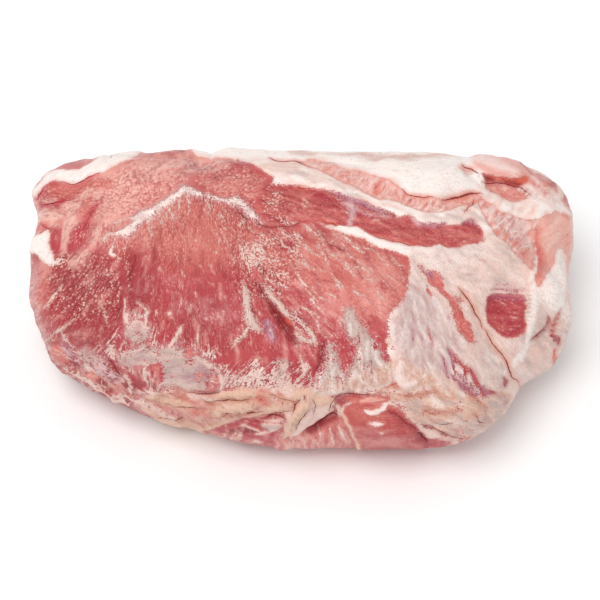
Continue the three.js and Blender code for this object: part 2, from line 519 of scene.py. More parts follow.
    def crack(self, knots: Knots, depth: float, width: float = 1.3, rim_glow_and_shade: Hue = Hue.DEEP) -> None:
        """Cuts a crack, with a dark line in it: partly the deeper red of the slit, partly painted shade in
        the crevice.

        Args:
            knots: Its places with the half width of the dark line there.
            depth: How deep the surface dips.
            width: How wide the dip is, to a third of its depth.
            rim_glow_and_shade: Colour painted in a narrow band right beside it: painted shade when dark, as
                the default DEEP is, and a painted warm glow when light.
        """
        stroke = self.line(knots)
        ends = smooth(0.0, 0.15, np.minimum(stroke.along, 1.0 - stroke.along))
        dip = CRACK_DIP * depth * (CRACK_END + (1.0 - CRACK_END) * ends)
        self.height[stroke.at] -= dip * np.exp(-((stroke.distance / width) ** 2))
        # A narrow band beside the crack: painted shade when its colour is dark, a painted warm glow when it
        # is light.
        self.tone(stroke.grown(0.7), rim_glow_and_shade, 0.9, 0.6)
        self.tint(stroke.grown(0.5), rim_glow_and_shade, 0.8, 0.5)
        self.draw(Line.CRACK, stroke)

    def thread(self, knots: Knots) -> None:
        """Lays a thin white thread of fat."""
        stroke = self.line(knots)
        self.height[stroke.at] += THREAD_HEIGHT * np.exp(-((stroke.distance / THREAD_WIDTH) ** 2))
        self.draw(Line.THREAD, stroke)

    def turn_fibres(self, shape: Shape, grain: Array, heading: Array) -> None:
        """Gives a shape its own run of fibres, and calms them where two runs meet.

        Args:
            shape: Where.
            grain: Place along, across and into the fibres, one a point of the shape.
            heading: Direction of the fibres, in radians.
        """
        inner = shape.inside > 0.0
        self.grain[shape.at[inner]] = grain[inner]
        self.heading[shape.at[inner]] = heading[inner]
        self.steady[shape.at] = np.minimum(
            np.where(inner, smooth(-0.1, 0.3, self.facing[shape.at]), self.steady[shape.at]),
            smooth(0.5, 2.4, np.abs(shape.inside)),
        )

    def comb(self, shape: Shape, angle: float) -> None:
        """Turns the fibres inside a shape.

        Args:
            shape: Where.
            angle: Direction of the fibres, in degrees anticlockwise from the right.
        """
        a = math.radians(angle)
        x, y = self.place[shape.at].T
        along, across = x * math.cos(a) + y * math.sin(a), y * math.cos(a) - x * math.sin(a)
        self.turn_fibres(shape, np.stack([along, across, 0.3 * x], axis=1), np.full(len(x), a))

    def fan(self, shape: Shape, centre: tuple[float, float], scale: float = 95.0) -> None:
        """Lets the fibres inside a shape fan out.

        Args:
            shape: Where.
            centre: Place they come from.
            scale: Distance from it where their spacing is true.
        """
        offset = self.place[shape.at] - np.array(centre)
        reach = np.linalg.norm(offset, axis=1)
        heading = np.arctan2(offset[:, 1], offset[:, 0])
        self.turn_fibres(shape, np.stack([reach, heading * scale, 0.2 * offset[:, 0]], axis=1), heading)

    def strew(
        self, shape: Shape, lay: Callable[[Knots], None], count: int, length: float, width: float,
        seed: int, spread: float = 12.0, gap: float = 2.0,
    ) -> None:
        """Lays short lines along the fibres at random places, apart from each other.

        Args:
            shape: Where.
            lay: What lays one of them.
            count: How many.
            length: Their usual length.
            width: Their half width in the middle.
            seed: Seed of the draw.
            spread: How far their directions differ from the fibres', in degrees.
            gap: How far apart their middles are at least.
        """
        rng = np.random.default_rng(seed)
        inner = shape.at[shape.inside > 0.5]
        middles: list[Array] = []
        for number in rng.choice(inner, 3 * count):
            middle = self.place[number]
            if len(middles) == count:
                break
            if middles and np.min(np.linalg.norm(np.array(middles) - middle, axis=1)) < gap:
                continue
            middles.append(middle)
            angle = self.heading[number] + math.radians(rng.normal(0.0, spread))
            along = np.array([math.cos(angle), math.sin(angle)])
            reach = 0.5 * length * rng.uniform(0.5, 1.4)
            bend = rng.normal(0.0, 0.18) * reach * np.array([-along[1], along[0]])
            half = width * rng.uniform(0.5, 1.3)
            spots = ((middle - reach * along, 0.3), (middle + bend, 1.0), (middle + reach * along, 0.2))
            lay([(*spot, half * share) for spot, share in spots])

    def stain(self, colour: Hue, amount: float = 0.6, soft: float = 0.9) -> Callable[[Knots], None]:
        """Returns what colours the lean along a line."""
        return lambda knots: self.tone(self.line(knots, 3.0).grown(0.4), colour, soft, amount)

    def wash(self, colour: Hue, amount: float = 0.6, soft: float = 0.9) -> Callable[[Knots], None]:
        """Returns what colours the fat along a line."""
        return lambda knots: self.tint(self.line(knots, 3.0).grown(0.4), colour, soft, amount)

    def cut(self, depth: float, width: float = 1.2, rim_glow_and_shade: Hue = Hue.DEEP) -> Callable[[Knots], None]:
        """Returns what cuts a crack along a line."""
        return lambda knots: self.crack(knots, depth, width, rim_glow_and_shade)

    def wisp(
        self, ragged: float = 1.2, height: float = 0.3, colour: Hue | None = None
    ) -> Callable[[Knots], None]:
        """Returns what lays a frayed streak of fat along a line."""
        return lambda knots: self.streak(knots, ragged, height, colour)

    def bare(self, colour: Hue, level: float = -0.8, ragged: float = 1.6) -> Callable[[Knots], None]:
        """Returns what wears the fat off along a line, down to lean of the given colour."""

        def lay(knots: Knots) -> None:
            stroke = self.line(knots, 4.0)
            self.thin(stroke.grown(0.3), level, ragged)
            self.tone(stroke.grown(0.5), colour, 1.2, 0.9)

        return lay

    def thin(self, shape: Shape, level: float, ragged: float = 2.2, soft: float = 1.5) -> None:
        """Wears the fat thin, so that lean shows through it in streaks.

        Args:
            shape: Where.
            level: How much is left: 0 is half fat and half lean, 2 is nearly all fat.
            ragged: How far the streaks reach.
            soft: How far the wear takes to fade in.
        """
        share = smooth(-soft, soft, shape.inside)
        fat = self.fat[shape.at]
        self.fat[shape.at] = fat + share * (np.minimum(fat, level) - fat)
        self.vary(Trait.RAGGED, shape, ragged)

    def streak(
        self, knots: Knots, ragged: float = 1.2, height: float = 0.5, colour: Hue | None = None
    ) -> None:
        """Lays a frayed streak of fat.

        Args:
            knots: Its places with its half width there.
            ragged: How far its edge frays.
            height: How far it stands proud.
            colour: Its colour, if that changes.
        """
        stroke = self.line(knots)
        self.put_fat(stroke, FAR, ragged)
        self.swell(stroke, height, 3.0)
        if colour is not None:
            self.tint(stroke.grown(0.8), colour, 1.0)

    def settle(
        self, shape: Shape, comb: float | None = None, swell: tuple[float, float] | None = None,
        **traits: float,
    ) -> None:
        """Gives a shape its run of fibres, its height and the numbers that the finish reads.

        Args:
            shape: Where.
            comb: Direction of the fibres, in degrees, if it changes.
            swell: How far the shape rises and how wide its rim is, if it rises.
            traits: The new numbers, by name.
        """
        if comb is not None:
            self.comb(shape, comb)
        if swell is not None:
            self.swell(shape, *swell)
        for name, value in traits.items():
            self.vary(Trait(name), shape, value)

    def lay_fat(
        self, where: Knots | Shape, colour: Hue, soft: float = 3.0, most: float = FAR,
        frayed: float | None = None, **settings: float | tuple[float, float],
    ) -> Shape:
        """Lays a patch of fat.

        Args:
            where: Its outline, or the measured shape.
            colour: Its colour.
            soft: How far the colour takes to fade in.
            most: How thick it is at most.
            frayed: How far its edge and its thin places fray, if that changes.
            settings: What it settles to.

        Returns:
            The patch.
        """
        patch = where if isinstance(where, Shape) else self.area(where)
        self.put_fat(patch, most, frayed)
        self.tint(patch, colour, soft)
        self.settle(patch, **settings)
        return patch

    def lay_lean(
        self, where: Knots | Shape, colour: Hue, soft: float = 2.0,
        **settings: float | tuple[float, float],
    ) -> Shape:
        """Lays a patch of lean.

        Args:
            where: Its outline, or the measured shape.
            colour: Its colour.
            soft: How far the colour takes to fade in.
            settings: What it settles to.

        Returns:
            The patch.
        """
        patch = where if isinstance(where, Shape) else self.area(where)
        self.put_lean(patch, colour, soft)
        self.settle(patch, **settings)
        return patch

    def spot(self, x: float, y: float, reach: float) -> Stroke:
        """Measures the points against a small round spot."""
        return self.line(((x - 0.3 * reach, y, reach), (x + 0.3 * reach, y - 0.2 * reach, reach)))


def each(lay: Callable[[Knots], None], lines: Iterable[Knots]) -> None:
    """Lays one line after another.

    Args:
        lay: What lays one.
        lines: The lines.
    """
    for knots in lines:
        lay(knots)


@dataclass
class Region:
    """A stretch of the block with its own muscles, fat and cuts.

    Attributes:
        view: The view that its shapes are laid out in.
        low: Cosine past which the surface faces too far away to be reached.
    """

    view: View = SHOWN
    low: float = -0.24

    def dress(self, skin: Skin) -> None:
        """Paints and carves the region."""
        skin.look(self.view, self.low)
        self.lay(skin)

    def lay(self, skin: Skin) -> None:
        """Lays the region's layers, from the lowest up."""
        raise NotImplementedError


@dataclass
class BackCap(Region):
    """The fat cap of the back, worn thin in places."""

    view: View = BACK
    low: float = -0.35
    cap: Knots = ((-150, -50), (-150, 60), (0, 70), (150, 60), (150, -50), (0, -60))
    bare: tuple[Knots, ...] = (
        ((-112, 4), (-84, 12), (-50, 8), (-44, -2), (-70, -8), (-104, -6)),
        ((20, -6), (50, 6), (92, 2), (100, -8), (64, -14), (30, -14)),
        ((-30, -22), (0, -26), (40, -24), (34, -34), (-10, -36)),
    )
    worn: tuple[Knots, ...] = (
        ((-120, -14), (-60, -10), (-20, -22), (-40, -44), (-110, -44)),
        ((50, 26), (90, 30), (118, 22), (110, 8), (70, 12)),
        ((60, -24), (100, -20), (126, -34), (90, -48), (40, -44)),
    )
    seams: tuple[Knots, ...] = (
        ((-118, 12, 0.4), (-70, 20, 0.8), (-10, 14, 0.6), (50, 22, 0.8), (112, 12, 0.3)),
        ((-108, -16, 0.3), (-50, -8, 0.8), (10, -18, 0.7), (70, -12, 0.8), (116, -20, 0.3)),
        ((58, 34, 0.3), (48, 14, 0.6), (54, -8, 0.3)), ((-40, 40, 0.2), (-22, 32, 0.4), (2, 34, 0.2)),
        ((-88, -30, 0.2), (-66, -34, 0.4), (-48, -28, 0.2)),
    )

    def lay(self, skin: Skin) -> None:
        """Lays the cap, its bare patches and its seams."""
        cap = skin.lay_fat(self.cap, Hue.PINK_FAT, comb=4.0)
        skin.strew(cap, skin.wash(Hue.WHITE, 0.7), 160, 22.0, 2.2, 71)
        skin.strew(cap, skin.wash(Hue.GREY_FAT, 0.6), 120, 20.0, 1.8, 72)
        for worn in map(skin.area, self.worn):
            skin.thin(worn, 0.9)
            skin.strew(worn, skin.bare(Hue.ROSE), 14, 14.0, 1.2, 73)
        for bared in map(skin.area, self.bare):
            skin.thin(bared, -1.2, 2.6)
            skin.tone(bared, Hue.ROSE)
            skin.strew(bared, skin.wisp(), 16, 10.0, 0.5, 74)
        each(skin.cut(1.2, 1.6, Hue.ROSE), self.seams)


@dataclass
class CutEnd(Region):
    """An end of the block, where the muscles are cut across and fat parts them."""

    lean: tuple[Knots, ...] = ()
    outer: Knots = ((-90, -60), (-90, 50), (0, 60), (90, 50), (90, -60), (0, -70))

    def lay(self, skin: Skin) -> None:
        """Lays fat over the end and bares the muscles in it."""
        whole = skin.lay_fat(self.outer, Hue.PINK_FAT, comb=70.0)
        skin.strew(whole, skin.wash(Hue.WHITE), 60, 12.0, 1.6, 75)
        for number, outline in enumerate(self.lean):
            colour = (Hue.ROSE, Hue.LEAN, Hue.SALMON)[number % 3]
            muscle = skin.lay_lean(outline, colour, swell=(0.8, 7.0), flecks=0.7, ragged=1.0)
            skin.strew(muscle, skin.stain(Hue.WINE, 0.5), 12, 7.0, 0.9, 76 + number)
            skin.strew(muscle, skin.wisp(0.8), 5, 6.0, 0.4, 86 + number)


RIGHT_MUSCLES: tuple[Knots, ...] = (
    ((-50, 8), (-22, 14), (4, 8), (8, -2), (-12, -12), (-38, -16), (-54, -6)),
    ((12, 8), (34, 12), (56, 8), (60, -6), (40, -2), (20, -8)),
    ((-36, -22), (-12, -15), (4, -4), (0, -24), (-20, -36)),
    ((14, -12), (32, -6), (56, -14), (50, -32), (24, -36)),
    ((-40, 26), (-10, 30), (10, 22), (4, 15), (-24, 20)),
)
LEFT_MUSCLES: tuple[Knots, ...] = (
    ((-52, 4), (-22, -4), (-8, -8), (-14, -28), (-40, -32), (-60, -16)),
    ((-46, 16), (-18, 8), (12, 18), (36, 12), (30, 28), (-8, 32), (-40, 26)),
    ((-2, -12), (8, -4), (18, 6), (44, 0), (56, -18), (30, -36), (2, -32)),
)


@dataclass
class FrontFoot(Region):
    """The front face low down, under what the camera sees."""

    view: View = FRONT
    low: float = 0.1
    lean: tuple[Knots, ...] = (
        ((-110, -10), (-70, -18), (-20, -16), (-24, -40), (-80, -40), (-112, -28)),
        ((0, -12), (40, -16), (96, -12), (104, -28), (60, -42), (6, -40)),
    )
    fat: tuple[Knots, ...] = (
        ((-90, -24, 3), (-60, -28, 5), (-30, -26, 3)), ((-10, -14, 3), (-6, -28, 5), (4, -38, 3)),
        ((60, -20, 2), (80, -26, 4), (104, -22, 3)),
    )

    def lay(self, skin: Skin) -> None:
        """Lays lean with bands of fat."""
        for outline in self.lean:
            muscle = skin.lay_lean(outline, Hue.ROSE)
            skin.strew(muscle, skin.stain(Hue.WINE, 0.5), 30, 9.0, 1.0, 91)
            skin.strew(muscle, skin.wisp(1.0), 24, 10.0, 0.5, 92)
        each(skin.wisp(2.0, 0.5), self.fat)


@dataclass
class MainMuscle(Region):
    """The big muscle on the left, its fibres fanning down from under the silverskin's peak."""

    whole: Knots = (
        (-150, 78), (-88, 74), (-66, 92), (-50, 92), (-36, 74), (-14, 62), (-4, 46), (20, 34), (36, 29),
        (52, 23), (54, 14), (52, 2), (44, -8), (44, -20), (36, -32), (10, -44), (-20, -44), (-66, -50),
        (-60, -80), (-100, -80), (-150, -60),
    )
    peak: tuple[float, float] = (-58, 150)
    left: Knots = ((-140, 22), (-108, 26), (-92, 20), (-88, 0), (-92, -24), (-106, -34), (-145, -10))
    corner: Knots = (
        (-150, 60), (-92, 80), (-50, 86), (-44, 70), (-58, 58), (-84, 42), (-118, 40), (-150, 40),
    )
    middle: Knots = ((-46, 74), (-30, 70), (-12, 58), (-10, 40), (-26, 46), (-40, 52), (-54, 58), (-50, 70))
    right: Knots = (
        (-26, 30), (-8, 38), (18, 36), (36, 30), (52, 22), (54, 2), (42, -12), (24, -18), (4, -18),
        (-14, 0),
    )
    tones: tuple[tuple[Hue, float, float, Knots], ...] = (
        (Hue.SALMON, 9.0, 0.95, ((-84, 54), (-60, 54), (-38, 48), (-30, 28), (-50, 16), (-76, 24),
            (-94, 40))),
        (Hue.DEEP, 10.0, 0.75, ((-124, 16), (-92, 18), (-74, 12), (-72, -14), (-86, -30), (-118, -22))),
        (Hue.DEEP, 9.0, 0.6, ((-60, 0), (-38, 2), (-32, -20), (-44, -30), (-62, -22))),
        (Hue.CRIMSON, 5.0, 0.55, ((-26, 54), (-12, 54), (-8, 40), (-18, 42), (-28, 50))),
        (Hue.SALMON, 6.0, 0.85, ((-52, 64), (-30, 66), (-14, 60), (-20, 53), (-42, 52))),
        (Hue.PEACH, 6.0, 0.4, ((-50, 62), (-34, 62), (-20, 58), (-24, 53), (-42, 53))),
        (Hue.PINK, 3.0, 0.9, ((-112, 31), (-106, 33), (-101, 29), (-105, 25), (-112, 26))),
        (Hue.SALMON, 8.0, 0.6, ((-32, 44), (-12, 42), (-4, 24), (-16, 12), (-34, 22))),
        (Hue.PEACH, 6.0, 1.0, ((-106, 62), (-76, 72), (-40, 74), (-46, 66), (-70, 58), (-84, 46),
            (-104, 42))),
        (Hue.PALE_PEACH, 5.0, 0.8, ((-100, 54), (-90, 60), (-80, 54), (-86, 44), (-98, 40))),
        (Hue.SALMON, 4.0, 0.9, ((-140, 24), (-128, 20), (-126, 4), (-130, -8), (-140, -8))),
        (Hue.SALMON, 8.0, 0.9, ((-22, 26), (-8, 36), (18, 34), (36, 28), (52, 20), (54, 2), (44, -8),
            (28, -14), (8, -2))),
        (Hue.CRIMSON, 6.0, 0.25, ((-16, 20), (0, 16), (12, -2), (4, -12), (-10, -2))),
        (Hue.PEACH, 5.0, 0.45, ((30, 22), (46, 18), (50, 4), (40, -8), (30, 6))),
        (Hue.CRIMSON, 5.0, 0.6, ((-8, -20), (20, -14), (14, -36), (-4, -42), (-16, -30))),
    )
    flecks: tuple[tuple[float, Knots], ...] = (
        (1.1, ((-104, 48), (-84, 64), (-66, 62), (-66, 48), (-84, 36), (-96, 24), (-108, 22))),
        (1.2, ((-46, 66), (-16, 58), (-8, 36), (-8, 8), (-24, 6), (-36, 30), (-54, 56))),
        (0.45, ((-124, 16), (-96, 22), (-84, 12), (-90, -20), (-112, -22), (-126, -6))),
        (0.7, ((-76, 40), (-56, 52), (-44, 44), (-48, 20), (-70, 10))),
        (0.3, ((-52, 30), (-44, 30), (-34, 6), (-32, -20), (-48, -26), (-56, 0))),
        (0.3, ((10, 14), (30, 22), (50, 20), (46, 0), (24, -10), (8, -4))),
    )
    crest: Knots = ((-94, 70), (-62, 72), (-34, 69), (-34, 98), (-94, 98))
    streaks: tuple[Knots, ...] = (
        ((-80, 64, 0.6), (-60, 68, 0.9), (-40, 71, 0.5)), ((-72, 60, 0.5), (-54, 64, 0.8), (-36, 68, 0.4)),
        ((-90, 60, 0.5), (-78, 63, 0.7), (-66, 65, 0.4)),
    )
    dots: Spots = (
        (-66, -6, 0.9), (-64.6, -8, 0.6), (-58, 12, 0.4), (-49, 17, 0.5), (-44, 8, 0.4), (-52, 30, 0.4),
        (-38, 2, 0.4), (-70, 16, 0.4), (-54, -2, 0.4), (-47, -10, 0.4), (-61, -14, 0.4), (-42, 24, 0.5),
    )

    def lay(self, skin: Skin) -> None:
        """Lays the lean, turns its fibres and marbles it."""
        whole = skin.lay_lean(self.whole, Hue.LEAN, 4.0)
        skin.fan(whole, self.peak, 160.0)
        right = skin.area(self.right)
        runs = ((self.left, 52.0), (self.corner, 16.0), (self.middle, 8.0), (self.right, -42.0))
        for part, angle in runs:
            skin.comb(skin.area(part), angle)
        for colour, soft, amount, outline in self.tones:
            skin.tone(skin.area(outline, 14.0), colour, soft, amount)
        for value, outline in self.flecks:
            skin.vary(Trait.FLECKS, skin.area(outline, 14.0), value, 6.0)
        each(skin.stain(Hue.PALE_PEACH, 0.6, 1.4), self.streaks)
        skin.swell(skin.area(self.crest), 0.7, 6.0)
        skin.strew(whole, skin.stain(Hue.DEEP, 0.4), 170, 10.0, 0.7, 21)
        skin.strew(whole, skin.stain(Hue.PEACH, 0.5), 120, 8.0, 0.8, 22)
        skin.strew(whole, skin.wisp(0.8, 0.1), 90, 3.0, 0.24, 23, gap=5.0)
        skin.strew(right, skin.wisp(1.0, 0.15), 60, 11.0, 0.42, 24, gap=3.0)
        skin.strew(right, skin.stain(Hue.CRIMSON, 0.5), 30, 7.0, 1.0, 25)
        skin.strew(whole, skin.cut(0.5, 1.1), 10, 5.0, 0.2, 26, gap=14.0)
        for dot in self.dots:
            skin.put_fat(skin.spot(*dot))


@dataclass
class SmallMuscles(Region):
    """The small muscles that run out at the back left corner, under a band of fat."""

    lumps: tuple[tuple[Hue, Knots], ...] = (
        (Hue.PALE_PEACH, ((-131, 44), (-126, 46), (-120, 44), (-117, 40), (-122, 37), (-130, 38))),
        (Hue.SALMON, ((-125, 55), (-116, 57), (-104, 59), (-94, 60), (-94, 54), (-104, 53.6), (-118, 51))),
        (Hue.PALE_PEACH, ((-120, 48), (-112, 50), (-104, 49), (-106, 43), (-111, 36), (-114, 30),
            (-118, 34), (-118, 42))),
        (Hue.PALE_PEACH, ((-117, 20), (-112, 22), (-104, 33), (-98, 44), (-92, 50), (-94, 42), (-102, 28),
            (-112, 17))),
        (Hue.PEACH, ((-133, 56), (-130, 58), (-128, 46), (-129, 36), (-133, 36))),
    )
    # The crimson lines along the slit and the main groove are partly the meat's deeper red, partly painted
    # shade in them.
    reds: tuple[tuple[Hue, Knots], ...] = (
        (Hue.CRIMSON, ((-128, 46.4, 0.8), (-122, 49, 1.0), (-117, 50.4, 0.6))),
        (Hue.CRIMSON, ((-116, 27, 0.6), (-112.6, 32.6, 2.0), (-109, 36.4, 1.6), (-105, 43, 0.8),
            (-100, 50, 0.5))),
        (Hue.SALMON, ((-109, 41, 0.8), (-107, 46, 1.8), (-105, 50, 0.8))),
        (Hue.CRIMSON, ((-120.4, 35, 0.5), (-121, 29, 0.9), (-122.6, 24, 0.6))),
        (Hue.CRIMSON, ((-125.4, 35, 0.8), (-124.6, 31, 0.7), (-123.6, 26, 0.9))),
        (Hue.ROSE, ((-107.6, 33.6, 1.0), (-106, 31, 2.4), (-107.6, 27, 1.4))),
        (Hue.ROSE, ((-91, 29, 0.8), (-89, 27, 1.8), (-88, 24, 0.8))),
    )
    # Painted highlights: pale peach streaks on the lumps.
    lights: tuple[Knots, ...] = (
        ((-118.6, 40, 0.5), (-119, 33, 0.8), (-119.6, 27, 0.5)),
        ((-115.6, 38, 0.5), (-117, 30, 0.8), (-119, 24, 0.5)),
        ((-103, 55.6, 0.5), (-106, 53.6, 0.8), (-108, 53, 0.4)),
        ((-116, 49.4, 0.4), (-108, 52.4, 0.8), (-100, 53.4, 0.4)),
        ((-129.6, 40, 0.8), (-127, 43, 1.6), (-125, 41, 0.8)),
        ((-126.4, 50, 0.6), (-124, 49.6, 1.2), (-121.6, 50.4, 0.6)),
    )
    grooves: tuple[Knots, ...] = (
        ((-127.4, 56.4, 0.4), (-129, 53.6, 0.8), (-130.8, 50, 0.4)),
        ((-127.4, 46.6, 0.3), (-123, 48.2, 0.7), (-118.4, 50, 0.3), (-111, 51.6, 0.1)),
        ((-114, 30, 0.1), (-109, 35.6, 0.3), (-104, 44, 0.2), (-101, 48, 0.1)),
        ((-120.2, 35.4, 0.1), (-120.8, 30, 0.3), (-122.4, 25, 0.1)),
        # A painted shadow line under the band of fat, cut as a shallow crack.
        ((-118, 58.8, 0.2), (-112.6, 58, 0.4), (-108, 59.2, 0.6), (-101, 62, 0.3)),
        ((-128.2, 36.6, 0.5), (-126.8, 35.6, 0.6)),
    )
    band: Knots = (
        (-126.5, 63), (-121.5, 64.5), (-115, 64.5), (-108, 66), (-102.5, 68.5), (-97.5, 71.5), (-91, 74),
        (-84, 78), (-74, 77), (-79, 71.5), (-85, 69), (-91, 67), (-95, 65), (-97, 63), (-100, 62),
        (-104, 61), (-108, 59), (-112.5, 58), (-120, 58.7), (-124, 58.2), (-128, 56.2), (-131.4, 51),
        (-132.8, 54), (-129, 60),
    )
    shoulder: Knots = ((-140, 50), (-124, 70), (-100, 84), (-56, 96), (-56, 62), (-96, 52), (-122, 44))
    lens: Knots = (
        (-121.5, 65.6), (-115, 70), (-108, 74), (-100, 76), (-99.5, 72), (-103.5, 68.6), (-108, 66.6),
        (-115, 65),
    )
    lens_heart: Knots = ((-118, 66.6, 0.8), (-110, 68.4, 1.2), (-102, 71, 0.8))
    patch: Knots = (
        (-127.6, 35.4), (-125.6, 33), (-124.6, 26), (-122.4, 20.4), (-118, 22.4), (-119.6, 19),
        (-122.5, 17), (-127.5, 18.5), (-132, 22.5), (-136, 24), (-134, 31), (-130, 32),
    )

    def lay(self, skin: Skin) -> None:
        """Lays the lumps, the grooves between them, the band and the patch of fat."""
        for colour, outline in self.lumps:
            lump = skin.area(outline)
            skin.tone(lump, colour, 2.5)
            skin.settle(lump, swell=(0.6, 5.0), flecks=0.8)
            skin.strew(lump, skin.stain(Hue.SALMON), 8, 6.0, 0.7, 101)
        skin.vary(Trait.FLECKS, skin.area(self.lumps[3][1]), 1.1)
        # Along the slit and the grooves this is partly painted shade.
        for colour, knots in self.reds:
            skin.tone(skin.line(knots).grown(0.6), colour, 1.2, 0.9)
        # The grooves' dark lines are partly painted shade; the one under the band is a painted shadow line.
        each(skin.cut(0.35, 1.0, Hue.PINK), self.grooves)
        # Painted highlights on the lumps.
        each(skin.stain(Hue.PALE_PEACH, 0.7), self.lights)
        skin.swell(skin.area(self.shoulder, 2.0), 1.5, 14.0)
        skin.lay_fat(self.band, Hue.WHITE, 1.5, frayed=0.6, comb=20.0, swell=(0.8, 4.0), flecks=0.1)
        skin.lay_lean(self.lens, Hue.SALMON)
        skin.tone(skin.line(self.lens_heart), Hue.CRIMSON, 1.5, 0.7)
        skin.lay_fat(self.patch, Hue.WHITE, 1.5, frayed=0.8, swell=(0.8, 4.0), flecks=0.1)


@dataclass
class Silverskin(Region):
    """The wispy silverskin that hangs in two arms from its peak at the back edge."""

    halo: Knots = ((-104, 40), (-96, 56), (-78, 62), (-58, 62), (-60, 50), (-72, 36), (-90, 26), (-102, 28))
    arms: tuple[Knots, ...] = (
        ((-59, 55, 1.4), (-63.4, 52, 2.0), (-68, 48.4, 1.7), (-73, 44, 1.7)),
        ((-72.6, 43.4, 1.7), (-78, 42.6, 2.3), (-83, 41, 1.4)),
        ((-79.6, 40.6, 1.5), (-83.6, 37, 2.2), (-86.4, 34, 2.0), (-91, 33, 0.9)),
        ((-60, 55.6, 1.5), (-56, 54.8, 2.0), (-51.6, 53.4, 1.3), (-45, 51.6, 0.8), (-38, 49.6, 0.8),
            (-34.6, 48.4, 0.5)),
        ((-36, 49.8, 1.0), (-31, 49.4, 2.0), (-28, 47.4, 1.4), (-25.6, 44.2, 2.4), (-23, 41.8, 1.9),
            (-20, 39.8, 0.6)),
    )
    wisps: tuple[Knots, ...] = (
        ((-70, 45, 0.5), (-69.4, 41, 0.6), (-68, 37, 0.3)),
        ((-66, 48, 0.5), (-64, 44, 0.6), (-62, 40, 0.3)), ((-76, 41, 0.5), (-75, 37, 0.5), (-74, 33, 0.3)),
        ((-57, 53, 0.4), (-55.6, 49, 0.5), (-55, 44, 0.3)),
        ((-47, 52, 0.4), (-46, 47, 0.5), (-46, 42, 0.3)), ((-90, 33, 0.6), (-95, 33, 0.8), (-99, 30, 0.4)),
        ((-82, 42, 0.5), (-88, 41, 0.5), (-93, 39, 0.3)), ((-61, 52, 0.4), (-60, 47, 0.5), (-60, 42, 0.3)),
        ((-28, 40, 0.5), (-30, 38.6, 0.7), (-31, 37, 0.3)),
    )
    hook: Knots = ((-92.4, 31, 0.4), (-94, 27, 0.6), (-94.6, 23.6, 1.0), (-92.6, 23, 0.8))
    cracks: tuple[Knots, ...] = (
        ((-32.6, 47.6, 0.3), (-29.4, 43, 0.6), (-26, 40.4, 0.3)),
        ((-22, 40.4, 0.4), (-17, 37.6, 0.5), (-10, 37, 0.4), (0, 38.6, 0.2)),
        ((-83.4, 22.6, 0.3), (-84.4, 16, 0.6), (-86, 9.6, 0.3)),
        ((-91, -3.5, 0.3), (-91.5, -6.5, 0.6), (-92, -9.5, 0.3)),
        ((-18, 16.6, 0.3), (-17.4, 15, 0.7), (-18, 13.6, 0.3)), ((-20, 19, 0.3), (-20.4, 17.6, 0.5)),
        ((14, 30, 0.2), (18, 27.6, 0.4), (22, 25, 0.2)),
    )
    blue: Spots = ((-81, 42, 2.4), (-70, 45, 1.6), (-56, 54, 1.8), (-26, 44, 1.6))
    crumbs: tuple[tuple[float, Knots], ...] = (
        (0.5, ((-30, 27), (-22, 29), (-17, 24), (-20, 18), (-27, 18))),
        (-1.3, ((-34, 24), (-14, 26), (-12, 10), (-18, 2), (-30, 4), (-30, 14))),
        (-1.6, ((-40, 44), (-10, 46), (0, 24), (-6, 8), (-24, 0), (-36, 20))),
        (-1.9, ((-60, 64), (-30, 66), (-6, 52), (-10, 38), (-34, 44), (-54, 54))),
        (-1.9, ((-112, 30), (-94, 32), (-84, 10), (-92, -6), (-120, -8), (-124, 14))),
    )

    def lay(self, skin: Skin) -> None:
        """Lays the film, its arms and wisps, and the cuts beside them."""
        halo = skin.area(self.halo, 12.0)
        skin.tone(halo, Hue.PEACH, 6.0, 0.6)
        skin.vary(Trait.FLECKS, halo, 1.1, 5.0)
        for level, outline in self.crumbs:
            skin.lay_fat(outline, Hue.PINK_FAT, most=level, frayed=2.0, flecks=1.1)
        for arm in map(skin.line, self.arms):
            skin.put_film(arm.grown(1.0))
            skin.put_fat(arm, 1.6, 1.5)
            skin.vary(Trait.FLECKS, arm.grown(2.0), 1.2, 1.5)
            skin.vary(Trait.STEADY, arm.grown(1.0), 0.35, 2.0)
            skin.tint(arm.grown(1.0), Hue.WHITE, 1.0, 0.7)
            skin.swell(arm, 0.6, 2.0)
        for dot in self.blue:
            skin.tint(skin.spot(*dot), Hue.VIOLET, 1.6, 0.3)
        each(skin.wisp(1.2, 0.1), self.wisps)
        skin.streak(self.hook, 0.4, 0.6, Hue.WHITE)
        each(skin.cut(0.8), self.cracks)


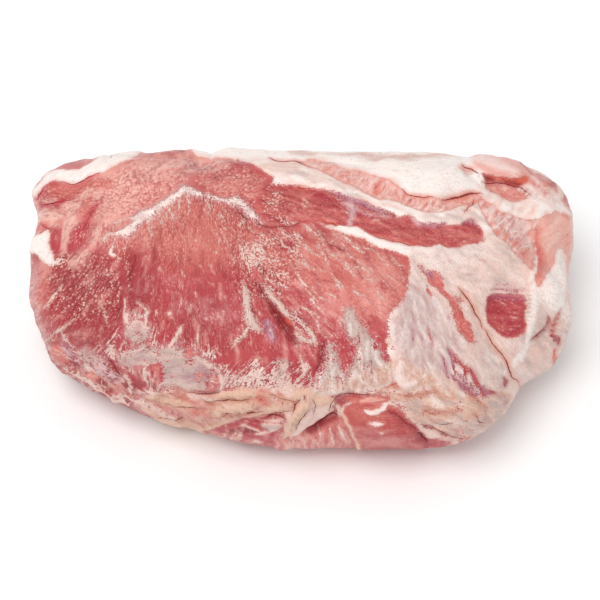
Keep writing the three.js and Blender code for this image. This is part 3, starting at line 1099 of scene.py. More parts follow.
@dataclass
class BackFat(Region):
    """The smooth white fat along the back edge, and the two strips of muscle in it."""

    mass: Knots = (
        (4, 71.5), (16, 70), (22, 67.5), (32.5, 65), (39, 63), (47.5, 60.5), (52, 56.5), (58.5, 54.2),
        (66.5, 53.4), (73, 52.4), (81, 54.4), (91, 57), (93, 60), (97, 68), (104, 78), (92, 84), (98, 100),
        (60, 92), (30, 104), (14, 88), (-2, 96), (8, 82), (-2, 78),
    )
    left_strip: Knots = (
        (-54, 73), (-46, 71.4), (-34, 70.6), (-20, 71), (-8, 70), (4, 71), (8, 84), (-12, 80), (-20, 94),
        (-34, 84), (-46, 92), (-58, 80),
    )
    peach_foot: Knots = (
        (3, 68), (8, 66), (12.5, 63.6), (17.5, 61), (22.5, 58), (29, 55.5), (35, 52.5), (40, 51), (46, 51),
        (51, 49), (55, 47), (60, 45), (65, 44), (70, 44.5), (76, 46), (85, 47.5),
    )
    crimson_top: Knots = (
        (0, 58), (6, 56), (11, 55), (17.5, 54), (21.5, 53), (26, 50.6), (31, 49.5), (36, 47.5), (41, 45),
        (46, 43.5), (48.5, 42), (55, 42), (57.5, 39.5), (60, 38), (69.5, 37.4),
    )
    peach: Knots = (
        (1.5, 69.6), (6, 70.8), (12.5, 69.6), (19, 67.2), (25, 65.6), (31, 64.6), (37.5, 62.6), (42.5, 61),
        (47.5, 58), (52.5, 55), (57.5, 53), (65, 52), (72, 50.4), (80, 51.6), (87, 53), (91, 51.6),
        (89, 49.6), *reversed(peach_foot),
    )
    seam: Knots = (
        (-13, 61.6), (-2, 63.4), *peach_foot, (90, 50), (98, 42), (106, 26), (94, 26), (91.4, 33), (90, 38),
        (82.5, 40), (79, 37), *reversed(crimson_top), (-12, 58),
    )
    crimson: Knots = (
        (-15, 60), *crimson_top, (78, 37), (81, 39), (84, 40), (87.5, 38), (90, 36.5), (91.5, 33.5),
        (90.5, 30), (87.5, 28), (80, 27.4), (73, 26.6), (71, 28), (65, 27.6), (60, 26.4), (52.5, 28),
        (45, 30), (40, 31), (35, 33.4), (30, 37), (20, 37.4), (12, 38.6), (2, 38), (-12, 36.6), (-20, 44),
        (-20, 54),
    )
    violet: tuple[tuple[Hue, float, Knots], ...] = (
        # A painted shadow line, wine-dark, under the ledge of the seam along the top of the crimson strip.
        (Hue.WINE, 0.6, ((11, 54.6, 0.3), (17.5, 53, 0.6), (22.5, 51.6, 0.8), (27.5, 49.4, 1.0),
            (32.5, 47.2, 1.1), (38, 44.8, 1.1), (43, 43.6, 0.8), (48, 42, 0.5))),
        (Hue.VIOLET, 0.9, ((17.5, 54, 0.4), (24, 51.8, 0.7), (30, 49, 0.8), (36, 46.4, 0.8),
            (42, 44.4, 0.5))),
        (Hue.CRIMSON, 0.8, ((20, 50, 0.6), (26, 47.6, 1.0), (31, 45, 0.7))),
        (Hue.FILM, 0.8, ((22, 49, 0.6), (25, 48, 1.3), (26.4, 45, 1.4), (26, 41, 0.9), (25.4, 38, 1.0))),
        (Hue.FILM, 0.5, ((22, 49, 0.3), (26, 47.4, 0.4), (30, 45, 0.4), (34, 43, 0.4), (40, 42, 0.4),
            (45, 42, 0.3))),
        (Hue.FILM, 0.8, ((55, 42, 0.5), (57, 39.6, 0.8), (59.6, 37.4, 0.6))),
        (Hue.VIOLET, 0.8, ((60, 37.6, 0.4), (66, 37.4, 0.6), (72, 37.6, 0.4))),
        (Hue.VIOLET, 0.7, ((84, 40, 0.6), (86.6, 39.4, 0.9), (88, 38, 0.5))),
    )
    lower_seam: Knots = (
        (19, 36.2, 0.6), (23, 35.6, 1.6), (28, 34.8, 1.7), (33, 32, 1.7), (38.5, 28.8, 1.9),
        (44, 27.4, 1.9), (50, 25.6, 2.2), (56, 24.6, 2.6), (64, 24, 2.8), (76, 25, 1.4),
    )
    slits: tuple[Knots, ...] = (
        ((72.5, 50.3, 0.4), (77, 51, 0.9), (82, 53, 1.5), (87, 53.8, 1.1), (90.6, 53.8, 0.4)),
        ((86.6, 50, 0.3), (84.6, 47, 0.6), (82.6, 43.6, 0.3)),
        ((81.6, 67.6, 0.4), (85.6, 65.6, 0.8), (89, 62.4, 0.5)),
        ((-15, 71, 0.3), (-5, 69.6, 0.5), (0, 69.4, 0.5), (3, 67.4, 0.4), (7, 65.8, 0.2)),
        ((-1, 57.8, 0.3), (2, 57, 0.5), (4, 56.6, 0.2)),
        ((35, 33.2, 0.3), (40, 30.8, 0.5), (45, 29.8, 0.4), (52.5, 27.8, 0.5), (58, 26.6, 0.3)),
        ((12, 39.6, 0.3), (16, 39, 0.5), (19, 37.2, 0.3)),
        ((52, 55.2, 0.2), (57, 53, 0.4), (66, 51.6, 0.2)),
    )
    blush: tuple[Knots, ...] = (
        ((14, 63.4, 0.6), (21, 63, 1.4), (26, 64.4, 1.2), (34, 63, 0.6)),
        ((22, 60, 0.5), (34, 58.6, 0.8), (44, 56, 0.5)),
        ((36, 55, 0.8), (46, 53.4, 1.4), (54, 50.6, 1.2), (62, 48, 0.8)),
    )
    crimson_heart: Knots = ((-6, 55, 2), (14, 50, 3), (30, 45, 3), (50, 38, 2), (70, 35, 2), (88, 35, 3))
    rim: Knots = (
        (-5, 74, 1.2), (3, 73.4, 1.0), (12, 73, 0.4), (22, 72.8, 0.6), (32, 71.8, 1.2), (45, 71.2, 1.5),
        (56, 71.2, 1.3), (66, 72.2, 0.9), (84, 73, 0.7), (94, 72, 0.6),
    )

    def lay(self, skin: Skin) -> None:
        """Lays the fat, then the strips and the seam between them."""
        for outline in (self.mass, self.left_strip):
            fat = skin.lay_fat(outline, Hue.WHITE, 2.0, frayed=0.5, comb=-4.0, swell=(0.5, 8.0), flecks=0.05)
            skin.heal(fat)
        skin.tint(skin.line(self.rim), Hue.TAN, 1.2, 0.6)

        peach = skin.lay_lean(self.peach, Hue.PEACH, 1.5, comb=50.0, fibres=1.2, flecks=0.4)
        skin.tone(peach, Hue.PALE_PEACH, 1.5, 0.6)
        each(skin.stain(Hue.ORANGE, 0.6, 1.6), self.blush)
        skin.strew(peach, skin.stain(Hue.SALMON, 0.6, 0.7), 130, 4.0, 0.3, 33, 24.0)
        skin.strew(peach, skin.stain(Hue.WHITE, 0.4, 0.7), 60, 5.0, 0.3, 34, 24.0)

        crimson = skin.lay_lean(self.crimson, Hue.LEAN, comb=-18.0, flecks=0.3)
        skin.tone(skin.line(self.crimson_heart), Hue.CRIMSON, 3.0, 0.9)
        skin.strew(crimson, skin.stain(Hue.SALMON, 0.6, 0.7), 90, 14.0, 0.3, 31, 5.0)
        skin.strew(crimson, skin.stain(Hue.DEEP, 0.6, 0.7), 50, 12.0, 0.35, 32, 5.0)
        skin.strew(crimson, skin.wisp(0.6, 0.1), 16, 4.0, 0.3, 35, 14.0)

        seam = skin.lay_fat(self.seam, Hue.WHITE, 2.0, frayed=0.9, comb=-18.0, swell=(0.6, 3.0), flecks=0.1)
        skin.heal(seam)
        skin.strew(seam, skin.wash(Hue.PINK_FAT, 0.7), 50, 12.0, 0.7, 36, 8.0)
        skin.strew(seam, skin.wash(Hue.GREY_FAT, 0.5), 20, 12.0, 0.5, 37, 8.0)
        # The wine-dark line among these is a painted shadow line under the seam's ledge.
        for colour, amount, knots in self.violet:
            stroke = skin.line(knots)
            skin.thin(stroke, 0.0, 2.0, 0.8)
            skin.tone(stroke.grown(0.3), colour, 1.0, amount)
            skin.tint(stroke.grown(0.2), colour, 0.8, 0.5 * amount)
            skin.vary(Trait.FLECKS, stroke.grown(0.5), 0.6, 1.0)
        skin.streak(self.lower_seam, 0.7, 0.6, Hue.WHITE)
        each(skin.cut(0.9, rim_glow_and_shade=Hue.ORANGE), self.slits)


@dataclass
class CornerFold(Region):
    """The lip of fat that folds over the back right corner, and the strips under it."""

    outer: Knots = ((88, 76), (110, 72), (122, 64), (134, 52), (140, 40), (150, 40), (150, 90), (86, 96))
    lip: Knots = (
        (86, 71), (92, 76), (103, 76), (112, 70), (114.6, 64), (113.6, 60), (108, 61), (101, 61.4),
        (95, 62.4), (90, 64), (87, 67),
    )
    heart: Knots = ((86, 69.6, 1.4), (93, 68.6, 2.4), (100, 66.6, 2.4), (107, 64, 1.4))
    face: Knots = (
        (90, 62.6), (97, 62), (105, 61), (112, 61.4), (114, 59.6), (110, 56.6), (105, 56.6), (100, 58.6),
        (93, 59),
    )
    lobe: Knots = ((87, 62.4, 1.2), (90, 60.6, 1.9), (92, 58.4, 1.4))
    strip: Knots = (
        (92, 58), (98, 58), (105, 56.4), (110, 54.6), (115, 51.4), (111, 51), (108, 49.6), (104, 50.4),
        (99, 53.4), (94, 56),
    )
    fat: Knots = (
        (91, 56), (94, 55.4), (99, 52.6), (104, 49.6), (108, 48.6), (111, 50), (116, 51.4), (122, 49),
        (128, 45), (122, 42), (116, 40), (108, 42), (98, 47),
    )
    band: Knots = (
        (112.6, 69), (117, 62), (124, 57), (130, 51), (135, 43), (133, 40), (128, 46), (120, 50.6),
        (114, 54), (112, 58),
    )
    ribs: Knots = (
        (88, 50.6), (94, 49.6), (101, 46), (108, 42), (115.4, 41), (116.4, 16), (110, 21), (104, 26.6),
        (98.6, 31.4), (95, 37.4), (91, 43.6),
    )
    # A white line along the edge of the curving layer: partly white fat, partly a painted highlight.
    ridge: Knots = ((110, 54.6, 0.5), (115, 52, 0.9), (122.5, 48.6, 1.0), (130, 44.6, 0.6))
    # Wine-dark lines under the overhanging lip: partly the meat's deeper red, partly painted shade.
    reds: tuple[Knots, ...] = (
        ((91, 61.6, 0.8), (94, 60.4, 1.6), (98, 59.6, 0.6)),
        ((101, 59.6, 0.6), (106, 58.4, 1.2), (110, 57, 0.8)),
    )
    strip_heart: Knots = ((104, 54, 1.0), (108, 52, 1.6), (112, 51.6, 1.0))
    spots: tuple[tuple[Hue, float, float, float], ...] = (
        (Hue.TAN, 101.6, 33, 1.8), (Hue.ORANGE, 107.6, 28.4, 1.6), (Hue.ORANGE, 112, 24, 2.4),
        (Hue.TAN, 104, 30, 1.2), (Hue.ORANGE, 114, 20, 1.8), (Hue.TAN, 112, 67, 1.0),
        (Hue.TAN, 125.6, 56, 1.4), (Hue.ORANGE, 123, 59, 1.2), (Hue.PALE_PEACH, 118, 62, 1.8),
        (Hue.PALE_PEACH, 122, 61, 1.4), (Hue.TAN, 131, 50, 0.8), (Hue.PALE_PEACH, 128, 55, 1.2),
        (Hue.ORANGE, 80.6, 66.4, 1.6), (Hue.ORANGE, 84, 64.6, 1.8),
    )
    cracks: tuple[Knots, ...] = (
        ((92, 58.8, 0.3), (97, 58.6, 0.6), (102, 58, 0.8), (107, 56.4, 0.9), (111, 56, 0.5),
            (115, 52.6, 0.2)),
        ((110.6, 68, 0.3), (113, 65.6, 0.5), (116, 63, 0.3)),
    )

    def lay(self, skin: Skin) -> None:
        """Lays the corner from the ribbed muscle up to the lip."""
        skin.heal(skin.lay_fat(self.outer, Hue.PALE_PEACH))
        ribs = skin.lay_lean(self.ribs, Hue.PEACH, comb=52.0, fibres=1.2, flecks=0.3, waves=0.5)
        skin.tone(ribs, Hue.PALE_PEACH, 2.0, 0.5)
        skin.strew(ribs, skin.stain(Hue.SALMON, 0.7, 0.7), 80, 7.0, 0.35, 41, 9.0)
        skin.strew(ribs, skin.stain(Hue.WHITE, 0.5, 0.7), 50, 7.0, 0.3, 42, 9.0)
        fat = skin.lay_fat(self.fat, Hue.WHITE, 2.0, frayed=0.8, flecks=0.1)
        skin.strew(fat, skin.wash(Hue.PALE_PEACH), 12, 7.0, 1.0, 43)
        strip = skin.lay_lean(self.strip, Hue.PALE_PEACH, 1.0, comb=-20.0)
        skin.tone(skin.line(self.strip_heart), Hue.ROSE, 1.5, 0.5)
        skin.strew(strip, skin.stain(Hue.SALMON), 14, 6.0, 0.35, 44)
        band = skin.lay_fat(self.band, Hue.PEACH, 1.5, frayed=0.6, comb=-42.0)
        skin.strew(band, skin.wash(Hue.SALMON, 0.7), 30, 9.0, 0.7, 45, 5.0)
        skin.strew(band, skin.wash(Hue.WHITE, 0.7), 14, 9.0, 0.5, 46, 5.0)
        skin.lay_fat(self.lip, Hue.PEACH, 1.5, frayed=0.4, swell=(1.2, 5.0), flecks=0.1)
        skin.tint(skin.line(self.heart), Hue.WHITE, 2.0, 0.6)
        skin.lay_lean(self.face, Hue.ORANGE, 1.0)
        # Partly the meat's deeper red, partly painted shade under the lip.
        for knots, amount in zip(self.reds, (0.9, 0.8)):
            skin.tone(skin.line(knots), Hue.WINE, 1.2, amount)
        skin.streak(self.lobe, 0.5, 0.8, Hue.WHITE)
        # The ridge: partly white fat, partly a painted highlight along the layer's edge.
        skin.streak(self.ridge, 0.4, 0.6, Hue.WHITE)
        for colour, *spot in self.spots:
            skin.dye(skin.spot(*spot), colour, 1.4, 0.5)
        each(skin.cut(0.9), self.cracks)


@dataclass
class RightFat(Region):
    """The wide pinkish fat on the right with a round muscle sunk in it, and the face round the end."""

    whole: Knots = (
        (57.5, 25), (53.5, 22), (55, 16), (54, 9), (53, 4), (51.5, 0), (49.5, -5), (43.6, -9.6),
        (48.4, -13), (46.6, -17), (42.6, -21), (49, -24), (46.6, -29), (46, -34), (52, -45), (74, -48),
        (93, -50), (112, -60), (150, -40), (150, 60), (133, 44), (118, 38), (116, 17), (106.5, 25),
        (99.5, 30), (93, 30), (89, 28.6), (74, 27), (65, 25.4),
    )
    fringe: Knots = (
        (53, 4, 1), (49.5, -5, 1), (44, -9.6, 1), (47, -15, 1), (43, -21, 1), (47, -27, 1), (46, -34, 1),
    )
    shades: tuple[tuple[Hue, float, Knots], ...] = (
        (Hue.WHITE, 0.5, ((60, 24), (80, 26), (92, 28), (88, 20), (72, 14), (60, 18))),
        (Hue.GREY_FAT, 0.7, ((52, 6), (62, 4), (72, -8), (80, -24), (70, -38), (54, -34), (48, -16))),
        (Hue.GREY_FAT, 0.5, ((86, -16), (98, -24), (108, -36), (100, -46), (90, -34))),
        (Hue.GREY_FAT, 0.5, ((114, 0), (122, 2), (124, -12), (116, -18), (113, -10))),
        (Hue.PALE_PEACH, 0.4, ((106, -26), (124, -20), (134, -22), (128, -36), (116, -44), (108, -36))),
        (Hue.CREAM, 0.5, ((46, -36), (70, -38), (96, -44), (98, -52), (60, -50))),
    )
    face: Knots = (
        (116.4, 47), (126, 46), (138, 38), (138, 20), (131, 24), (126, 16), (121, 8), (117.4, 8),
        (116.8, 16), (116.4, 34),
    )
    # Painted shade, orange-red, in the recess right of the crease, widest part way down.
    crease_shade: Knots = ((117.4, 34, 0.6), (118, 26, 1.4), (118.6, 18, 2.2), (119, 12, 1.4))
    band: Knots = ((124, 14), (129, 25), (132.6, 22), (133.6, -8), (126, -6), (120, 0), (120.6, 8))
    edge: Knots = ((134, 24, 1.2), (134.6, 8, 1.0), (134.6, -4, 0.6))
    # The first ridge, right of the crease, is partly white fat and partly a painted highlight along its
    # edge.
    ridges: tuple[Knots, ...] = (
        ((116.2, 41, 0.7), (117, 28, 0.9), (117.2, 12, 1.0), (116.6, -4, 0.9), (114, -16, 0.7),
            (113, -22, 0.5)),
        ((127.4, 45.4, 0.5), (121, 43, 0.9), (116.6, 40.6, 0.6)),
        ((114, -23, 0.5), (110, -29, 0.7), (102.6, -36.6, 0.4)),
    )
    muscle: Knots = (
        (94, 2), (98.5, 3), (103.5, 3.4), (109, 3), (112, 2.4), (112.6, -2.5), (111.6, -7.5), (112.6, -14),
        (110, -17.5), (106, -18.5), (101, -17.5), (97, -14), (94, -9), (93, -3),
    )
    long_cuts: tuple[Knots, ...] = (
        ((79.5, 6.5, 0.3), (83, 1.6, 0.5), (86.6, -3, 0.7), (89.4, -8, 0.6), (92, -13.6, 0.3)),
        ((93.6, -15, 0.3), (96, -21, 0.6), (100, -26, 0.5), (103.6, -31.6, 0.7), (106, -37, 0.6),
            (110, -42.6, 0.3)),
    )
    folds: tuple[Knots, ...] = (
        ((115.6, 40, 0.2), (115.8, 32, 0.6), (115.6, 24, 0.6), (116, 15, 0.2)),
        ((116.6, -20, 0.3), (119, -17.6, 0.6), (123, -14, 0.4), (124.4, -10, 0.3)),
        ((68, -60, 0.2), (72, -62, 0.3), (76, -61, 0.2)),
    )
    lean_streaks: tuple[Knots, ...] = (
        ((59, 17, 0.4), (63, 14, 0.8), (67.6, 10.4, 3.0), (70.4, 7, 2.0), (72.4, 3.6, 1.0), (76, 0, 1.8),
            (78, -4, 2.8), (80, -9, 2.9), (82.4, -13.6, 3.0), (85, -18.6, 2.2), (88, -21, 0.6)),
        ((63.6, 6, 0.5), (65, 3.6, 0.9), (66, 1.6, 0.4)), ((72, 3, 0.4), (78, 1, 0.9), (81.6, -1, 0.5)),
    )
    bits: tuple[tuple[Hue, float, Knots], ...] = (
        (Hue.CRIMSON, -0.9, ((76, -26, 0.4), (78, -30, 0.9), (80.6, -33.6, 0.5))),
        (Hue.VIOLET, -0.4, ((73.6, -23.6, 0.5), (75, -28, 1.0), (77, -33, 0.7))),
        (Hue.CRIMSON, -0.9, ((79, -29, 0.4), (82, -33.6, 0.9), (84, -37, 0.5))),
        (Hue.CRIMSON, -1.0, ((84, -33.6, 0.5), (87, -37.6, 1.2), (89.6, -42, 0.8))),
        (Hue.CRIMSON, -1.0, ((88, -41, 0.5), (91, -44, 1.2), (93, -48.6, 0.5))),
        (Hue.CRIMSON, -1.2, ((81, -42, 0.5), (85, -46, 1.1), (89, -51, 0.6))),
        (Hue.VIOLET, -0.4, ((70.6, -28, 0.5), (72.6, -33, 1.1), (75, -39, 0.6))),
        (Hue.VIOLET, -0.4, ((76, -36, 0.6), (79, -41, 1.3), (83, -47, 0.6))),
        (Hue.VIOLET, -0.2, ((80, -37, 0.6), (84, -42, 1.2), (88, -47, 0.6))),
        (Hue.CRIMSON, -1.4, ((95, -45, 0.8), (98, -47.4, 1.9), (101.6, -51, 1.5))),
        (Hue.VIOLET, -0.6, ((92, -43, 0.5), (94, -47, 0.9), (95, -52, 0.6))),
        (Hue.CRIMSON, -1.2, ((104.6, -58, 1.0), (107, -56, 1.2), (110, -54, 0.8))),
        (Hue.VIOLET, -0.6, ((115, -20, 0.5), (119, -17.6, 1.0), (123, -14.6, 0.8), (124.6, -10, 0.6))),
        (Hue.CRIMSON, -1.2, ((123.6, -8, 0.5), (124.2, -10, 1.0), (123.8, -12.6, 0.5))),
        (Hue.SALMON, -0.2, ((130, -5, 0.8), (129, -8, 1.4), (127, -12, 1.4), (126, -16, 1.0))),
        (Hue.CRIMSON, -1.4, ((126, -18, 1.0), (128.6, -20, 2.0), (130, -22, 1.0))),
        (Hue.ORANGE, -1.0, ((128.6, -25, 1.0), (128, -29, 1.4), (127, -32, 0.6))),
        (Hue.CRIMSON, -1.0, ((63.6, -15, 0.4), (65, -18, 0.9), (66.4, -23, 0.5))),
        (Hue.VIOLET, -0.4, ((55, -12, 0.5), (56.6, -18, 1.0), (56, -24, 0.6))),
        (Hue.VIOLET, 0.0, ((60, 17.6, 0.5), (63, 14, 0.8), (66, 12, 0.6))),
        (Hue.DEEP, -0.8, ((102, -38, 0.8), (103.4, -40, 1.5), (102.6, -43, 0.9))),
        (Hue.VIOLET, 0.1, ((96, 5, 0.4), (101, 5.6, 0.6), (106, 5, 0.6), (112, 5.6, 0.4))),
        (Hue.FILM, 0.3, ((98, 7.6, 0.4), (103, 8, 0.7), (108, 7.4, 0.6))),
        (Hue.CRIMSON, -1.0, ((42.4, -26, 0.8), (44, -31, 1.6), (45, -36, 0.8))),
        (Hue.TAN, 0.2, ((52, -38, 0.4), (55, -43, 0.5), (48, -45, 0.4))),
    )
    bruise: Knots = ((76, -26), (80, -28), (86, -35), (94, -45), (97, -52), (90, -51), (82, -43), (75, -33))
    muscle_top: Knots = ((95, 2, 1.0), (103, 2.6, 1.4), (111, 1.6, 1.2))
    hole: Knots = ((89.6, -57, 0.8), (91.4, -58, 0.8))
    hole_rim: Knots = ((87.6, -57.6, 0.3), (88.6, -60.4, 0.6), (91.4, -60.6, 0.3))
    dots: Spots = (
        (75, 20, 0.5), (80, 17, 0.4), (72, 19, 0.4), (85, 13, 0.5), (92, 19, 0.4), (97, 15, 0.3),
        (88, 22, 0.3), (51, -27, 0.4), (45, -22, 0.5), (98, -26, 0.4), (60, 27, 0.4), (53, -6, 0.5),
        (91, 20, 0.5),
    )

    def lay(self, skin: Skin) -> None:
        """Lays the fat, its worn places and streaks, the sunken muscle and the cuts."""
        whole = skin.lay_fat(skin.area(self.whole, 14.0), Hue.PINK_FAT, most=3.2, frayed=1.6, flecks=0.5)
        skin.heal(whole)
        skin.fan(whole, (30.0, 62.0), 90.0)
        skin.vary(Trait.RAGGED, skin.line(self.fringe).grown(3.0), 2.6)
        for colour, amount, outline in self.shades:
            skin.tint(skin.area(outline, 12.0), colour, 6.0, amount)
        lower = skin.area(self.shades[1][2], 12.0).grown(3.0)
        skin.strew(whole, skin.wash(Hue.WHITE, 0.35), 110, 9.0, 0.6, 61)
        skin.strew(whole, skin.wash(Hue.GREY_FAT, 0.5), 130, 9.0, 0.5, 62)
        skin.strew(lower, skin.wash(Hue.VIOLET, 0.3, 0.7), 70, 9.0, 0.3, 63, 8.0)
        skin.strew(lower, skin.wash(Hue.WHITE, 0.4, 0.7), 50, 9.0, 0.3, 64, 8.0)
        face = skin.lay_lean(self.face, Hue.PALE_PEACH, comb=50.0, fibres=0.5, flecks=0.1)
        skin.tint(face.grown(3.0), Hue.PALE_PEACH, 4.0)
        skin.vary(Trait.RAGGED, face.grown(2.0), 0.5)
        skin.strew(face, skin.stain(Hue.PEACH, 0.7), 50, 9.0, 0.4, 67, 6.0)
        # Painted shade in the recess right of the crease: orange-red on lean and fat, pinker along its
        # middle.
        crease_shade = skin.line(self.crease_shade)
        skin.tone(crease_shade.grown(1.5), Hue.ORANGE, 3.0, 0.8)
        skin.tint(crease_shade.grown(1.0), Hue.ORANGE, 3.0, 0.6)
        skin.tone(crease_shade, Hue.PINK, 1.5, 0.5)
        skin.lay_fat(self.band, Hue.WHITE, frayed=1.0)
        skin.tint(skin.line(self.edge), Hue.PEACH, 1.5, 0.9)
        # White ridges: the one by the crease is partly white fat, partly a painted highlight.
        each(skin.wisp(0.5, 0.7, Hue.WHITE), self.ridges)
        for lean in map(skin.line, self.lean_streaks):
            skin.put_lean(lean, Hue.ROSE, 1.0)
            skin.tone(lean, Hue.SALMON, 1.0, 0.5)
            skin.vary(Trait.RAGGED, lean.grown(1.5), 1.1)
        muscle = skin.lay_lean(self.muscle, Hue.CRIMSON, comb=-24.0, swell=(-0.8, 3.0), fibres=0.5)
        skin.vary(Trait.RAGGED, muscle.grown(1.0), 0.8)
        skin.tone(skin.line(self.muscle_top), Hue.VIOLET, 2.5, 0.7)
        skin.strew(muscle, skin.stain(Hue.SALMON, 0.35), 12, 6.0, 0.5, 78, 30.0)
        skin.strew(muscle, skin.wisp(0.5, 0.1), 3, 3.0, 0.2, 79, 20.0)
        bruise = skin.area(self.bruise)
        skin.comb(bruise, -62.0)
        skin.tint(bruise, Hue.VIOLET, 2.0, 0.25)
        skin.strew(bruise, skin.bare(Hue.CRIMSON, -0.7, 1.0), 26, 7.0, 0.4, 131, 8.0)
        skin.strew(bruise, skin.wash(Hue.WHITE, 0.7), 24, 8.0, 0.3, 132, 8.0)
        for colour, level, knots in self.bits:
            stroke = skin.line(knots)
            skin.thin(stroke.grown(0.2), level, 1.5, 0.9)
            skin.tone(stroke.grown(0.5), colour, 1.0, 0.9)
            skin.tint(stroke.grown(0.3), colour, 1.0, 0.5)
            skin.vary(Trait.FLECKS, stroke.grown(0.5), 0.6, 1.0)
        for dot in self.dots:
            skin.tint(skin.spot(*dot), Hue.ROSE, 0.8, 0.7)
        for knots in self.long_cuts:
            skin.tint(skin.line(knots).grown(1.5), Hue.PALE_PEACH, 1.5, 0.6)
            skin.crack(knots, 0.7, 1.0, Hue.TAN)
        each(skin.cut(0.7, 1.1, Hue.TAN), self.folds)
        skin.tint(skin.line(self.hole).grown(2.4), Hue.ORANGE, 1.2, 0.6)
        skin.tint(skin.line(self.hole).grown(0.8), Hue.PALE_PEACH, 0.8)
        skin.crack(self.hole_rim, 0.8)


@dataclass
class Tendons(Region):
    """The frayed white tendons and tongues of fat in the middle."""

    grooves: tuple[Knots, ...] = (
        ((-21.5, 8.5, 0.2), (-17, 1, 0.4), (-12, -7, 0.6), (-6, -17, 0.7), (-1.5, -21.5, 0.3)),
        ((-13, -4, 0.2), (-9, -10, 0.5), (-4, -15, 0.3)), ((12, -22, 0.2), (10, -30, 0.4), (8, -36, 0.2)),
    )
    streaks: tuple[Knots, ...] = (
        ((-29.5, 10, 0.7), (-27.4, 3, 1.7), (-26.6, -5, 2.2), (-24, -12, 3.2), (-21, -15.4, 1.6)),
        ((-25, -13, 1.2), (-29, -18, 0.8), (-34.5, -23.6, 0.3)),
        ((-18, 8, 0.7), (-15.6, 3, 1.3), (-12, -0.5, 1.6), (-8, -5.5, 1.8), (-4, -8.6, 1.0)),
        ((-2, -8, 0.7), (2, -12.5, 1.2), (6.5, -17, 1.5), (8, -20.5, 1.0)),
        ((-2, -17, 0.8), (1.5, -19, 1.3), (7.5, -20.5, 1.0)),
        ((-12, -36, 0.4), (-9, -43, 0.7), (-8, -46, 0.4)),
        ((0, -28, 0.3), (1, -33, 0.6), (3, -36, 0.8), (-1, -42, 0.4)),
        ((3, -30, 0.3), (3, -34, 0.5), (2, -38, 0.3)),
    )
    tongues: tuple[Knots, ...] = (
        ((24, -3.6), (21.6, -9), (23, -16), (27, -21), (29, -26), (26, -33), (24, -38), (30, -43),
            (46, -42), (46.6, -38), (43, -30), (38.6, -23), (34, -17), (30, -11), (26.6, -5)),
        ((15, -22), (13.4, -29), (10.4, -38), (6, -45), (10, -48), (24, -46), (24, -40), (20.6, -34),
            (19, -28), (17, -23)),
    )
    fringe: Knots = ((-16.5, -11, 0.8), (-15.5, -14.5, 1.6), (-13.6, -19, 0.8))
    spots: Spots = ((-6, -10, 1.2), (-5, -11.6, 0.8), (-13, 2.4, 0.6), (6, -14, 0.6))
    reds: Spots = (
        (24.6, -26, 2.2), (22, -20, 1.4), (25, -31, 1.6), (-6, 28.5, 2.4), (38, -24, 1.2), (42.4, -28, 1.4),
    )

    def lay(self, skin: Skin) -> None:
        """Lays the streaks of fat and the grooves beside them."""
        for knots in self.grooves:
            # Painted shade: a broad wine-dark band along each groove, beside its crack.
            skin.tone(skin.line(knots).grown(1.5), Hue.WINE, 2.0, 0.6)
            skin.crack(knots, 1.4, 1.7)
        for tongue in map(skin.area, self.tongues):
            skin.fan(tongue, (10.0, 60.0), 90.0)
            skin.put_film(tongue.grown(1.0).softened(0.6))
            skin.put_fat(tongue.grown(0.5).softened(0.6), 1.8, 1.8)
            skin.tint(tongue.grown(1.0), Hue.GREY_FAT, 1.5)
            skin.vary(Trait.FLECKS, tongue.grown(1.0), 0.9)
            skin.swell(tongue, 0.9, 3.0)
            skin.strew(tongue, skin.wash(Hue.WHITE), 12, 9.0, 0.7, 111, 8.0)
            skin.strew(tongue, skin.bare(Hue.CRIMSON, -0.4), 8, 5.0, 0.4, 112, 8.0)
        for knots in self.streaks:
            skin.streak(knots, 1.3, 0.8, Hue.PINK_FAT)
            skin.tint(skin.line(knots).grown(0.8), Hue.GREY_FAT, 1.0, 0.5)
            skin.vary(Trait.FLECKS, skin.line(knots).grown(2.0), 1.0)
        fringe = skin.line(self.fringe)
        skin.put_film(fringe)
        skin.tone(fringe.grown(1.0), Hue.VIOLET, 1.5, 0.8)
        for spot in self.spots:
            skin.dye(skin.spot(*spot), Hue.ORANGE, 1.0, 0.8)
        for spot in self.reds:
            skin.put_lean(skin.spot(*spot), Hue.CRIMSON, 1.0)


